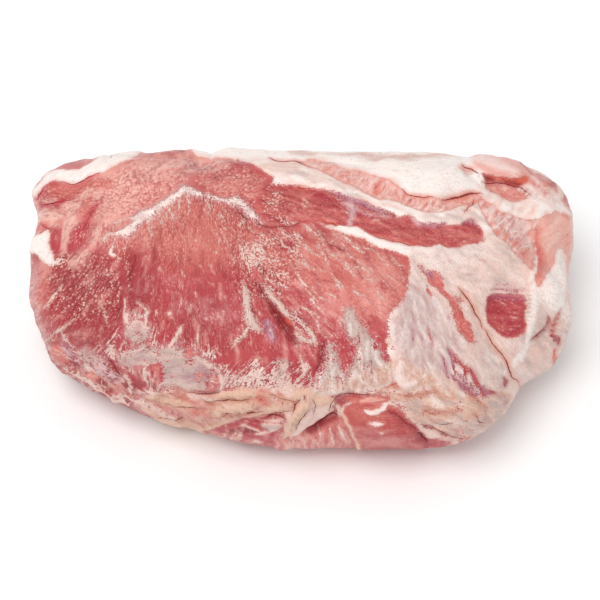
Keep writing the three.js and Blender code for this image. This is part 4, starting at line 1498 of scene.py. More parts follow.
@dataclass
class FrayedEdge(Region):
    """The front left edge, where thin membranes and layered fat run out over the lean."""

    haze: Knots = (
        (-126, -20), (-112, -26), (-98, -24), (-90, -14), (-80, -8), (-74, -18), (-60, -22), (-46, -24),
        (-36, -34), (-16, -32), (6, -34), (10, -48), (-20, -56), (-60, -60), (-84, -56), (-110, -44),
        (-132, -26),
    )
    wisped: Knots = ((-44, -32), (-20, -28), (4, -30), (6, -46), (-20, -46), (-42, -46))
    corner: Knots = (
        (-140, -22), (-116, -22), (-100, -28), (-86, -38), (-76, -46), (-52, -64), (-60, -78), (-100, -70),
        (-134, -46),
    )
    web: Knots = (
        (-86, -13), (-81, -11), (-77, -13), (-77, -18), (-78, -22), (-74, -24), (-66, -24), (-62, -28),
        (-66, -33), (-76, -33), (-84, -33), (-91, -30), (-86, -26), (-81, -24), (-83, -20), (-87, -17),
    )
    membrane: Knots = (
        (-70, -26), (-64, -24), (-58, -25), (-51, -29), (-45, -33), (-41, -37), (-41, -42), (-46, -45),
        (-58, -46), (-66, -44), (-69, -40), (-70, -34),
    )
    patches: tuple[tuple[Hue, float, Knots], ...] = (
        (Hue.GREY_FAT, -0.2, ((-108, -26, 1.0), (-103, -30, 2.6), (-99, -34, 2.6))),
        (Hue.FILM, -0.9, ((-117, -22, 0.8), (-114, -26, 1.6), (-111, -29, 1.0))),
        (Hue.FILM, -0.6, ((-101, -31, 1.0), (-97, -36, 1.8), (-91, -40, 1.0))),
        (Hue.PINK_FAT, 0.4, ((-105.6, -34, 1.0), (-104, -35, 1.4), (-103, -36, 0.8))),
        (Hue.PINK_FAT, 0.2, ((-95, -24, 0.8), (-94.6, -26.6, 1.6), (-94, -29, 0.8))),
        (Hue.PINK_FAT, 0.3, ((-22, -30, 0.5), (-21, -36, 1.8), (-18, -41, 3.2), (-16, -44, 2.4))),
        (Hue.PINK_FAT, 0.3, ((-14, -38, 1.2), (-11, -39, 2.4), (-10, -43, 2.2), (-8.6, -46, 1.0))),
        (Hue.GREY_FAT, 0.3, ((-11, -31, 1.4), (-8.6, -32, 1.6), (-9, -36, 1.6), (-9.6, -38, 0.8))),
        (Hue.PINK_FAT, -0.2, ((-36, -40, 1.4), (-30, -41, 2.8), (-24, -43, 2.6))),
        (Hue.PINK_FAT, -0.1, ((-7, -44, 1.4), (-4, -46, 2.4), (0, -45, 1.6))),
    )
    threads: tuple[Knots, ...] = (
        ((-87.5, 0, 0.3), (-88, -6, 0.7), (-86.5, -10, 0.9), (-84, -13, 1.0)),
        ((-76.5, -6.5, 0.6), (-81, -10, 0.5), (-84, -13, 0.6)),
        ((-82, -1.5, 0.3), (-79, -4, 0.4), (-76.5, -7, 0.8), (-78, -14, 0.8)),
        ((-59.5, -13, 0.7), (-61.5, -18, 1.0), (-64, -22.5, 1.1)),
        ((-51.4, -14, 0.2), (-51.2, -19, 0.5), (-50.8, -24, 0.5)),
        ((-51, -28.5, 0.4), (-46.5, -31.5, 0.8), (-42, -34.5, 0.9), (-39.5, -39, 1.1), (-39, -44, 0.9)),
        ((-76.6, -33.6, 0.5), (-77.6, -38, 0.9), (-76.6, -42, 0.6)),
        ((-78, -44, 0.5), (-75.6, -45.6, 0.9), (-72, -45.6, 0.8), (-68, -41.4, 0.5)),
        ((-88.6, -39.6, 0.4), (-87, -37.4, 0.5), (-85.4, -41, 0.5), (-84.6, -45.4, 0.4)),
        ((-127, -20, 0.4), (-121, -15.6, 0.6), (-114, -10.4, 0.4), (-109, -7, 0.2)),
        ((-128, -4, 0.2), (-125, -2, 0.5), (-122, 3, 0.4), (-118, 8, 0.2)),
        ((-119, -15, 0.3), (-117, -19, 0.5), (-113.6, -23, 0.3)),
        ((-100, 0, 0.2), (-97.6, -7, 0.6), (-95.6, -13, 0.3)),
        ((-117.6, -34, 0.6), (-108, -40, 0.8), (-97, -47.6, 0.7), (-86, -52.6, 0.4)),
        ((-96, -48, 0.3), (-88, -49.4, 0.5), (-80, -51.4, 0.5), (-71, -55, 0.4), (-64, -60, 0.3)),
        ((-38.6, -44, 0.6), (-37, -37, 0.4), (-36.4, -32, 0.2)),
        ((-36, -43, 0.5), (-31, -37, 0.5), (-26, -34, 0.2)),
        ((-10, -33, 0.3), (-7, -34, 0.5), (-8.6, -41, 0.5)),
        ((0, -27, 0.3), (0.6, -31, 0.6), (2.6, -34, 0.9), (0.6, -40, 0.3)),
        ((-7, -38, 0.3), (-4, -42, 0.5), (-2, -46, 0.4)),
        ((-33, -24, 0.2), (-30, -20, 0.5), (-27, -17, 0.7)),
    )
    cream: Knots = (
        (-84, -52), (-76, -47), (-66, -45), (-52, -46.6), (-42, -46), (-34, -45), (-22, -45), (-10, -46),
        (-2, -48), (0, -53), (-12, -55.4), (-30, -60), (-42, -64.6), (-50, -67), (-62, -63), (-74, -58),
    )
    lips: tuple[tuple[Hue, float, Knots], ...] = (
        (Hue.CREAM, 1.2, ((-44, -49.4, 0.8), (-39, -47.6, 2.0), (-32, -46.4, 2.4), (-26, -46.6, 1.6),
            (-23.6, -47.6, 0.6))),
        (Hue.PINK_FAT, 0.8, ((-56, -48, 0.4), (-48, -49, 0.8), (-42, -51, 0.4))),
        (Hue.CREAM, 0.8, ((-78, -54, 0.8), (-68, -60, 1.8), (-54, -65, 1.8), (-46, -65, 1.4),
            (-36, -61, 1.0), (-30, -59.6, 0.5))),
        (Hue.CREAM, 0.9, ((-42, -56, 1.4), (-32, -55, 3.0), (-24, -53, 2.4))),
        (Hue.CREAM, 0.8, ((-30, -60, 0.8), (-20, -57, 1.4), (-12, -54.6, 1.4), (-3, -52, 0.8))),
        (Hue.CREAM, 0.6, ((-74, -48, 0.8), (-64, -52, 1.6), (-54, -53, 0.8))),
    )
    # Creases between the layers, drawn as cracks; the first lies in the painted shadow under the cream lip.
    creases: tuple[Knots, ...] = (
        ((-46, -51.4, 0.2), (-36, -50.6, 0.5), (-25, -49.6, 0.2)),
        ((-77, -56.6, 0.2), (-62, -60.6, 0.5), (-48, -62.8, 0.2)),
        ((-42, -59, 0.2), (-31, -58.4, 0.5), (-18, -55.8, 0.2)),
        ((-73, -49.6, 0.2), (-62, -53.4, 0.5), (-50, -54, 0.2)),
        ((-57, -46.8, 0.2), (-48, -47.6, 0.4), (-41, -46.4, 0.2)),
        ((-30, -61.6, 0.3), (-18, -58.6, 0.6), (-6, -55.6, 0.2)),
        ((-14, -47.6, 0.2), (-8, -50, 0.4), (-3, -50.6, 0.3)),
    )
    gaps: tuple[tuple[Hue, float, Knots], ...] = (
        (Hue.CRIMSON, 0.8, ((-53, -46.4, 0.4), (-47, -47, 0.9), (-41, -46, 0.4))),
        # A painted shadow line, in brown, under the cream lip above it.
        (Hue.TAN, 0.7, ((-43, -50, 0.4), (-34, -50.6, 0.8), (-27, -50, 0.6))),
        (Hue.ROSE, 0.5, ((-57, -53, 0.8), (-52, -54.6, 1.6), (-48, -55, 0.6))),
        (Hue.ROSE, 0.5, ((-64, -57, 0.8), (-60, -58.6, 1.6), (-57, -59, 0.6))),
        (Hue.ROSE, 0.3, ((-53, -49, 1.0), (-48, -51, 1.8), (-43.6, -52.6, 0.8))),
        (Hue.SALMON, 0.8, ((-33, -59, 0.4), (-27, -57.6, 1.0), (-20, -54.6, 0.5))),
        (Hue.ORANGE, 0.5, ((-26, -49.6, 0.6), (-21, -49.6, 1.5), (-16, -50, 0.6))),
        (Hue.TAN, 0.4, ((-13, -49, 0.6), (-9, -52, 1.0), (-3, -56, 0.5))),
        (Hue.ROSE, 0.5, ((-74, -50, 0.6), (-70, -53, 1.2), (-64, -55.6, 0.5))),
    )
    dots: Spots = (
        (-26, -50, 0.4), (-23.6, -51.4, 0.5), (-21.6, -49, 0.5), (-24.6, -48.4, 0.4), (-19.6, -50.6, 0.4),
    )
    violets: Spots = ((-50, -36, 3.6), (-46, -38, 2.4), (-56, -39, 2.4))
    islands: tuple[tuple[Hue, float, Knots], ...] = (
        (Hue.CRIMSON, 1.0, ((-74.6, -32), (-70, -31.6), (-68, -36), (-68.6, -41), (-72, -44.4),
            (-75.6, -41), (-76, -36))),
        (Hue.CRIMSON, 0.4, ((-57.6, -23.6), (-54, -23.6), (-52.6, -28), (-54.6, -33), (-57.6, -31),
            (-58.6, -27))),
        (Hue.CRIMSON, 0.6, ((-45.6, -35), (-41.6, -35.6), (-40, -40), (-42, -45), (-46.4, -44.6),
            (-46.6, -39))),
        (Hue.ROSE, 0.0, ((-53.6, -37), (-50, -36.6), (-49.6, -40.6), (-53, -41))),
        (Hue.WINE, 0.0, ((-78.6, -22.4), (-76, -22.2), (-75.8, -25), (-78, -25.4))),
        (Hue.SALMON, 1.0, ((-126, -23), (-119, -22), (-115.6, -28), (-118.6, -33), (-124, -29))),
        (Hue.ORANGE, 0.8, ((-107, -36), (-102, -36), (-101, -39), (-105.6, -40.4))),
        (Hue.DEEP, 0.0, ((-111, -30), (-108.4, -30), (-107.6, -37), (-110, -37))),
        (Hue.SALMON, 0.9, ((-94, -43), (-90, -43), (-88, -47), (-92.6, -49))),
        (Hue.CRIMSON, 0.4, ((-84, -46), (-80, -46.6), (-79.6, -50), (-83, -50))),
        (Hue.CRIMSON, 0.4, ((-82.6, -34), (-79.6, -33.6), (-79.4, -37.4), (-82.4, -38))),
        (Hue.CRIMSON, 0.6, ((-46, -65.4), (-42, -63.4), (-36, -61.6), (-30, -60), (-22, -59), (-10, -57),
            (-7.4, -60), (-8, -66), (-6, -76), (-40, -78), (-54, -70))),
    )
    red: Knots = ((-36, -66.4, 0.8), (-28, -65, 1.6), (-20, -67, 0.8))
    knob: Knots = ((-18.6, -61.4, 1.0), (-14.6, -63.4, 2.4), (-11, -62.6, 1.8))
    rags: tuple[Knots, ...] = (
        ((-17.6, -60.4, 0.3), (-12, -60, 0.8), (-8, -60.2, 0.4)),
        ((-22, -67.4, 0.3), (-17, -66, 0.9), (-12, -65, 0.4)),
        ((-30, -62.4, 0.3), (-24, -64, 0.6), (-19, -66.4, 0.4)),
    )
    cracks: tuple[Knots, ...] = (
        ((-96, -31, 0.4), (-92, -36, 0.8), (-88.6, -39.6, 0.4)),
        ((-16.4, -59, 0.4), (-12.4, -58, 0.8), (-8, -59.6, 0.5)),
        ((-17.6, -63.6, 0.9), (-16.4, -64.6, 0.9)), ((-1, -50.4, 0.6), (-3, -52.4, 1.1), (-4, -56, 0.3)),
        ((-73.6, -43.6, 0.6), (-71.6, -44.4, 0.8)),
    )

    def lay(self, skin: Skin) -> None:
        """Lays the membranes, the layered fat, the bare islands and the threads."""
        self.lay_films(skin)
        self.lay_cream(skin)
        for colour, height, outline in self.islands:
            island = skin.lay_lean(outline, colour, 1.2, swell=(height, 2.5))
            skin.strew(island, skin.stain(Hue.PEACH, 0.5), 5, 6.0, 0.5, 59)
        skin.strew(skin.area(self.islands[-1][2]), skin.wisp(0.8, 0.3), 14, 9.0, 0.45, 60, 16.0)
        skin.tone(skin.line(self.red), Hue.WINE, 1.0, 0.8)
        skin.streak(self.knob, 0.8, 1.2, Hue.GREY_FAT)
        each(skin.wisp(0.5, 0.6, Hue.PINK_FAT), self.rags)
        for knots in self.threads:
            skin.streak(knots, 0.9, 0.5, Hue.PINK_FAT)
            skin.thread(knots)
        each(skin.cut(0.8), self.cracks)

    def lay_films(self, skin: Skin) -> None:
        """Lays the haze of film, the corner under it, and the patches and sheets of membrane."""
        haze = skin.area(self.haze, 12.0)
        skin.vary(Trait.FLECKS, haze, 0.5)
        skin.vary(Trait.RAGGED, haze.grown(3.0), 2.0)
        skin.vary(Trait.VEINS, haze.grown(2.0), 1.0)
        skin.put_film(haze, -1.4)
        skin.tone(haze, Hue.CRIMSON, 6.0, 0.7)
        skin.comb(skin.area(self.wisped), 48.0)
        corner = skin.area(self.corner, 12.0)
        skin.settle(corner, comb=-32.0, waves=1.0)
        skin.put_film(corner, -1.5)
        skin.tone(corner, Hue.CRIMSON, 4.0, 0.9)
        skin.tint(corner, Hue.GREY_FAT, 4.0, 0.6)
        skin.strew(corner, skin.stain(Hue.DEEP, 0.9), 80, 7.0, 1.2, 141, 14.0)
        skin.strew(corner, skin.stain(Hue.ORANGE, 0.6), 40, 5.0, 0.9, 142, 14.0)
        skin.strew(corner, skin.wisp(1.0, 0.5), 44, 10.0, 0.45, 143, gap=3.0)
        skin.strew(corner, skin.bare(Hue.DEEP, -1.4, 1.0), 70, 6.0, 0.9, 145, 16.0)
        skin.strew(corner, skin.wash(Hue.ROSE, 0.7), 40, 6.0, 0.4, 144, 14.0)
        for colour, level, knots in self.patches:
            patch = skin.line(knots)
            skin.put_film(patch.grown(1.0), 0.4)
            skin.put_fat(patch.grown(0.6).softened(0.6), level + 0.4)
            skin.tint(patch.grown(1.0), colour, 1.5)
            skin.tone(patch.grown(0.6), Hue.VIOLET, 1.5, 0.25)
            skin.vary(Trait.FLECKS, patch.grown(1.0), 1.0)
        for outline, level, angle in ((self.web, 0.6, 20.0), (self.membrane, 1.5, 4.0)):
            sheet = skin.area(outline)
            skin.put_film(sheet.grown(2.0).softened(0.4), 1.2)
            skin.put_fat(sheet.grown(1.0).softened(0.35), level, 1.8)
            skin.tint(sheet.grown(1.0), Hue.GREY_FAT, 2.0)
            skin.comb(sheet.grown(1.0), angle)
            skin.vary(Trait.FLECKS, sheet, 0.7)
            skin.strew(sheet, skin.wash(Hue.PINK_FAT, 0.5), 18, 8.0, 0.5, 57, 10.0)
            skin.strew(sheet, skin.wash(Hue.VIOLET, 0.25), 14, 8.0, 0.6, 58, 10.0)
        for spot in self.violets:
            skin.tint(skin.spot(*spot), Hue.VIOLET, 2.0, 0.35)

    def lay_cream(self, skin: Skin) -> None:
        """Lays the cream fat, the gaps in it, its lips and its creases."""
        cream = skin.area(self.cream)
        skin.put_film(cream.grown(1.0), 1.0)
        skin.put_fat(cream, 1.3, 2.2)
        skin.tint(cream.grown(1.0), Hue.CREAM, 2.0)
        skin.fan(cream, (-130.0, -10.0), 90.0)
        skin.settle(cream, flecks=1.2, waves=1.0)
        skin.strew(cream, skin.wash(Hue.PINK_FAT, 0.8), 50, 11.0, 0.7, 54, 10.0)
        skin.strew(cream, skin.wash(Hue.TAN, 0.75), 90, 5.0, 0.4, 56, 14.0)
        skin.strew(cream, skin.wash(Hue.ROSE, 0.6), 40, 7.0, 0.5, 55, 10.0)
        skin.strew(cream, skin.bare(Hue.ROSE, -0.6, 1.0), 16, 6.0, 0.4, 52, 10.0)
        for colour, amount, knots in self.gaps:
            stroke = skin.line(knots)
            skin.thin(stroke.grown(0.2), 1.2 - 2.4 * amount, 1.4)
            skin.tint(stroke.grown(0.8), colour, 1.2, amount)
            skin.tone(stroke.grown(1.0), colour, 1.2)
            skin.swell(stroke, -0.6, 1.5)
        for colour, height, knots in self.lips:
            skin.streak(knots, 0.7, height, colour)
        each(skin.cut(0.9, 1.1, Hue.TAN), self.creases)
        for dot in self.dots:
            skin.tint(skin.spot(*dot), Hue.WINE, 0.6, 0.8)


@dataclass
class FrontStraps(Region):
    """The straps and the glossy muscles of the front edge."""

    flap: Knots = (
        (40, -48), (50, -46.6), (58, -46), (74, -47), (92, -48), (104, -46), (104, -56), (96, -62),
        (86, -68), (80, -71), (70, -66), (62, -62), (54, -58), (52, -54), (44, -52),
    )
    shelf: Knots = (
        (8, -44), (14, -41), (20, -40), (27, -37), (38, -34), (47, -30), (58, -34), (72, -42), (76, -49),
        (56, -48), (46, -46.6), (34, -46), (24, -45.4), (17, -47.6), (11, -49),
    )
    ribbed: Knots = (
        (-10, -69), (-2, -66), (8, -62), (18, -57), (21, -58), (25, -64), (28, -72), (32, -84), (-12, -84),
    )
    glossy: Knots = (
        (22, -56), (24, -52), (30, -50), (38, -52), (43, -53), (50, -57), (57, -61), (60, -66), (62, -72),
        (66, -86), (30, -86), (28, -71), (25, -62),
    )
    glossy_top: Knots = ((26, -54, 2.0), (32, -58, 3.4), (40, -58, 2.0))
    glossy_foot: Knots = ((30, -68, 2.0), (44, -67, 4.0), (58, -70, 2.0))
    glob: Knots = ((50.6, -32, 1.4), (49.6, -36, 2.6), (50.5, -41, 2.8), (54, -42.6, 2.4), (57, -41.6, 1.2))
    opening: Knots = (
        (15, -54), (18, -50), (23, -47.6), (30, -47), (42, -48), (45, -50), (40, -51.6), (30, -50.6),
        (24, -51), (20, -53.6),
    )
    bits: tuple[tuple[Hue, Knots], ...] = (
        (Hue.ROSE, ((44, -54, 0.8), (48, -56.6, 2.0), (51.4, -58, 1.0))),
        (Hue.CRIMSON, ((61, -69, 0.8), (64, -71.6, 1.6), (74, -72.4, 1.6))),
        (Hue.CRIMSON, ((16, -49.6, 0.8), (19, -50.6, 1.4), (21, -52, 0.6))),
    )
    straps: tuple[tuple[Hue, float, Knots], ...] = (
        (Hue.CREAM, 1.0, ((9, -50, 1.0), (12, -51.6, 2.4), (16, -51.6, 2.0))),
        (Hue.PINK_FAT, 1.6, ((16, -54.4, 1.2), (11, -56.6, 2.2), (5, -60, 2.6), (0, -64, 2.4),
            (-4, -67.6, 1.4))),
        (Hue.CREAM, 1.8, ((4, -51.4, 1.6), (0.4, -55, 2.4), (-3, -60, 2.2), (-6, -66, 1.8),
            (-7.6, -69, 0.8))),
        (Hue.CREAM, 1.4, ((-1.6, -48.4, 1.2), (0, -46.6, 1.5), (3.6, -46.6, 1.5), (6.4, -49, 1.4))),
        (Hue.PINK_FAT, 0.8, ((18.6, -53, 0.9), (20, -55.4, 1.5), (19.6, -57.4, 0.8))),
        (Hue.CREAM, 0.7, ((22, -57, 0.7), (25.4, -64, 0.9), (27, -69, 0.9), (29.6, -74, 0.8))),
        (Hue.PEACH, 0.4, ((30, -50.6, 0.6), (36, -49.4, 1.2), (42, -50, 0.6))),
    )
    slits: tuple[tuple[float, Knots], ...] = (
        (2.4, ((3, -65, 0.5), (7, -64, 1.1), (11, -60.4, 1.6), (15, -57.6, 1.5), (18.6, -57.2, 0.8))),
        (1.0, ((5, -54.6, 0.2), (1.6, -58.4, 0.5), (-2, -64, 0.2))),
        (0.8, ((15, -54, 0.4), (19, -48.8, 0.7), (23, -46.8, 0.6), (30, -47.2, 0.5), (35, -47.4, 0.3))),
        (0.8, ((7.4, -51, 0.4), (8.4, -53.4, 0.4), (7.6, -55.6, 0.2))),
        (0.8, ((62, -63.4, 0.3), (65.4, -62.8, 0.7), (69, -65, 0.6), (75, -68, 0.6), (80, -69, 0.3))),
        (1.8, ((59, -67, 0.7), (60.4, -68.6, 1.3), (63.6, -71.6, 0.6))),
        (0.6, ((44, -55.6, 0.2), (50, -59, 0.4), (56, -62.6, 0.5), (58, -64.4, 0.2))),
    )
    seams: tuple[tuple[Hue, Knots], ...] = (
        (Hue.TAN, ((53, -48.4, 0.3), (60, -48, 0.6), (66, -47, 0.6), (72, -48, 0.3))),
        (Hue.TAN, ((62, -54, 0.5), (70, -56, 0.8), (80, -55, 0.4))),
        (Hue.ORANGE, ((44, -44.6, 0.4), (47, -43, 0.7), (50, -44, 0.3))),
        (Hue.TAN, ((84, -48, 0.5), (90, -52, 0.8), (94, -58, 0.5))),
    )
    white_marks_and_glints: tuple[Knots, ...] = (
        ((33, -55, 0.7), (36, -55.8, 1.5), (40, -54.8, 1.2), (42.6, -52.8, 1.0)),
        # Painted glints on the glossy muscle: a short streak and a spot.
        ((34.6, -61.6, 0.4), (38, -61.8, 0.9), (42, -61.6, 0.3)), ((40.4, -66, 0.6), (41.2, -66.3, 0.6)),
        ((19, -62, 0.4), (21, -67, 0.7), (23, -71, 0.4)),
        ((14.6, -64, 0.3), (16, -69, 0.5), (17, -73, 0.3)), ((9, -65, 0.3), (10.6, -70, 0.4)),
        ((-4, -69, 0.2), (-3, -74, 0.4)),
    )

    def lay(self, skin: Skin) -> None:
        """Lays the muscles, the flap of fat over them, and the straps."""
        flap = skin.area(self.flap)
        skin.put_fat(flap, 1.4, 1.8)
        skin.tint(flap, Hue.CREAM, 2.0, 0.7)
        skin.settle(flap, comb=-24.0, swell=(0.6, 4.0), waves=0.7, flecks=0.8)
        skin.strew(flap, skin.wash(Hue.WHITE, 0.45), 26, 8.0, 0.6, 121)
        skin.strew(flap, skin.wash(Hue.TAN, 0.5), 60, 6.0, 0.4, 122)
        skin.strew(flap, skin.wash(Hue.GREY_FAT, 0.8), 30, 8.0, 0.7, 124)
        skin.strew(flap, skin.bare(Hue.SALMON, -0.3), 10, 5.0, 0.4, 123)
        ribbed = skin.lay_lean(self.ribbed, Hue.SALMON, comb=108.0)
        skin.strew(ribbed, skin.stain(Hue.CRIMSON), 22, 7.0, 0.9, 125)
        skin.strew(ribbed, skin.stain(Hue.PALE_PEACH), 20, 7.0, 0.5, 126)
        glossy = skin.lay_lean(self.glossy, Hue.LEAN, comb=-10.0, swell=(0.8, 6.0), flecks=0.1, fibres=0.5)
        skin.tone(skin.line(self.glossy_top), Hue.SALMON, 3.0)
        skin.tone(skin.line(self.glossy_foot), Hue.CRIMSON, 4.0)
        skin.tone(glossy, Hue.ORANGE, 2.0, 0.25)
        skin.tone(glossy, Hue.DEEP, 4.0, 0.25)
        skin.strew(glossy, skin.stain(Hue.PEACH, 0.25), 14, 12.0, 0.6, 127)
        opening = skin.lay_lean(self.opening, Hue.SALMON, 1.0)
        skin.tone(opening, Hue.ORANGE, 1.0, 0.35)
        skin.strew(opening, skin.stain(Hue.CRIMSON), 10, 5.0, 0.6, 128)
        shelf = skin.area(self.shelf)
        skin.put_fat(shelf.softened(0.5).grown(0.5), 1.8, 1.8)
        skin.tint(shelf, Hue.CREAM, 3.0, 0.6)
        skin.vary(Trait.FLECKS, shelf, 1.1)
        skin.strew(shelf, skin.wash(Hue.TAN, 0.6), 40, 4.0, 0.4, 129, 30.0)
        skin.strew(shelf, skin.wash(Hue.WHITE, 0.6), 40, 4.0, 0.4, 130, 30.0)
        glob = skin.line(self.glob)
        skin.tint(glob.grown(1.6), Hue.TAN, 1.0, 0.6)
        skin.streak(self.glob, 0.3, 1.4, Hue.PINK_FAT)
        skin.tint(glob, Hue.WHITE, 1.5, 0.4)
        skin.vary(Trait.FLECKS, glob, 0.1)
        for colour, knots in (*self.bits, *self.seams):
            stroke = skin.line(knots)
            skin.thin(stroke.grown(0.5), -0.6, 1.8)
            skin.tone(stroke.grown(0.8), colour, 1.5)
            skin.tint(stroke.grown(0.8), colour, 1.2, 0.4)
        for depth, knots in self.slits:
            # A deep red band along each slit: partly the meat's deeper red, partly painted shade in it.
            skin.tone(skin.line(knots).grown(1.0), Hue.DEEP, 1.2, 0.8)
            skin.crack(knots, depth, 1.4, Hue.DEEP)
        for colour, height, knots in self.straps:
            skin.streak(knots, 0.5, height, colour)
        # White marks of fat, and on the glossy muscle painted glints.
        each(skin.wisp(0.5, 0.3, Hue.WHITE), self.white_marks_and_glints)


Value = bpy.types.NodeSocket | float | tuple[float, ...]


class Graph:
    """Wires a material's nodes."""

    def __init__(self, material: bpy.types.Material) -> None:
        """Empties the material.

        Args:
            material: The material to wire.
        """
        material.use_nodes = True
        self.tree = material.node_tree
        self.tree.nodes.clear()

    def add(
        self, kind: str, inputs: dict[str | int, Value] | None = None, **settings: object
    ) -> bpy.types.Node:
        """Adds a node.

        Args:
            kind: Its type.
            inputs: What goes into its sockets, by name or number.
            settings: Its own options.

        Returns:
            The node.
        """
        node = self.tree.nodes.new(kind)
        for name, value in settings.items():
            setattr(node, name, value)
        for key, value in (inputs or {}).items():
            if isinstance(value, bpy.types.NodeSocket):
                self.tree.links.new(value, node.inputs[key])
            else:
                node.inputs[key].default_value = value
        return node

    def attribute(self, name: str, output: str = "Fac") -> bpy.types.NodeSocket:
        """Reads what the mesh carries under a name."""
        return self.add("ShaderNodeAttribute", attribute_name=name).outputs[output]

    def math(self, operation: str, one: Value, other: Value = 0.0) -> bpy.types.NodeSocket:
        """Works out one operation on two numbers."""
        return self.add("ShaderNodeMath", {0: one, 1: other}, operation=operation).outputs[0]

    def total(self, *terms: tuple[Value, float]) -> bpy.types.NodeSocket:
        """Adds up values, each times its own factor."""
        found: Value = 0.0
        for value, factor in terms:
            node = self.add("ShaderNodeMath", {0: value, 1: factor, 2: found}, operation="MULTIPLY_ADD")
            found = node.outputs[0]
        return found

    def times(self, *values: Value) -> bpy.types.NodeSocket:
        """Multiplies values."""
        found = values[0]
        for value in values[1:]:
            found = self.math("MULTIPLY", found, value)
        return found

    def ease(self, value: Value, low: float, high: float, top: float = 1.0) -> bpy.types.NodeSocket:
        """Eases from 0 at low to top at high."""
        inputs = {"Value": value, "From Min": low, "From Max": high, "To Max": top}
        return self.add("ShaderNodeMapRange", inputs, interpolation_type="SMOOTHSTEP").outputs[0]

    def mix(self, share: Value, one: Value, other: Value, blend: str = "MIX") -> bpy.types.NodeSocket:
        """Blends two colours.

        Args:
            share: Share of the second.
            one: First colour.
            other: Second colour.
            blend: How they blend.

        Returns:
            The blend.
        """
        node = self.add("ShaderNodeMix", data_type="RGBA", blend_type=blend)
        for socket, value in zip((node.inputs[0], node.inputs[6], node.inputs[7]), (share, one, other)):
            if isinstance(value, bpy.types.NodeSocket):
                self.tree.links.new(value, socket)
            else:
                socket.default_value = value
        return node.outputs[2]

    def stretched(self, place: Value, step: tuple[float, float, float]) -> bpy.types.NodeSocket:
        """Returns a place in cells of the given size each way."""
        scale = tuple(1.0 / s for s in step)
        return self.add("ShaderNodeVectorMath", {0: place, 1: scale}, operation="MULTIPLY").outputs[0]

    def noise(
        self, place: Value, step: tuple[float, float, float], detail: float = 2.0
    ) -> bpy.types.NodeSocket:
        """Makes noise from about -1 to 1.

        Args:
            place: Where to read it, in millimetres.
            step: Size of its grain each way, in millimetres.
            detail: How many finer layers it has.

        Returns:
            The noise.
        """
        inputs = {"Vector": self.stretched(place, step), "Scale": 1.0, "Detail": detail, "Roughness": 0.6}
        return self.total((self.add("ShaderNodeTexNoise", inputs).outputs[0], 3.6), (-1.8, 1.0))

    def cells(
        self, place: Value, step: tuple[float, float, float]
    ) -> tuple[bpy.types.NodeSocket, bpy.types.NodeSocket]:
        """Makes scattered cells.

        Args:
            place: Where to read them, in millimetres.
            step: Size of a cell each way, in millimetres.

        Returns:
            Distance from the nearest cell's middle, and a random number for that cell.
        """
        node = self.add("ShaderNodeTexVoronoi", {"Vector": self.stretched(place, step), "Scale": 1.0})
        number = self.add("ShaderNodeSeparateColor", {0: node.outputs["Color"]}).outputs[0]
        return node.outputs["Distance"], number


def rgba(colour: Hue) -> tuple[float, float, float, float]:
    """Returns the colour as a socket takes it."""
    return (*colour.value, 1.0)


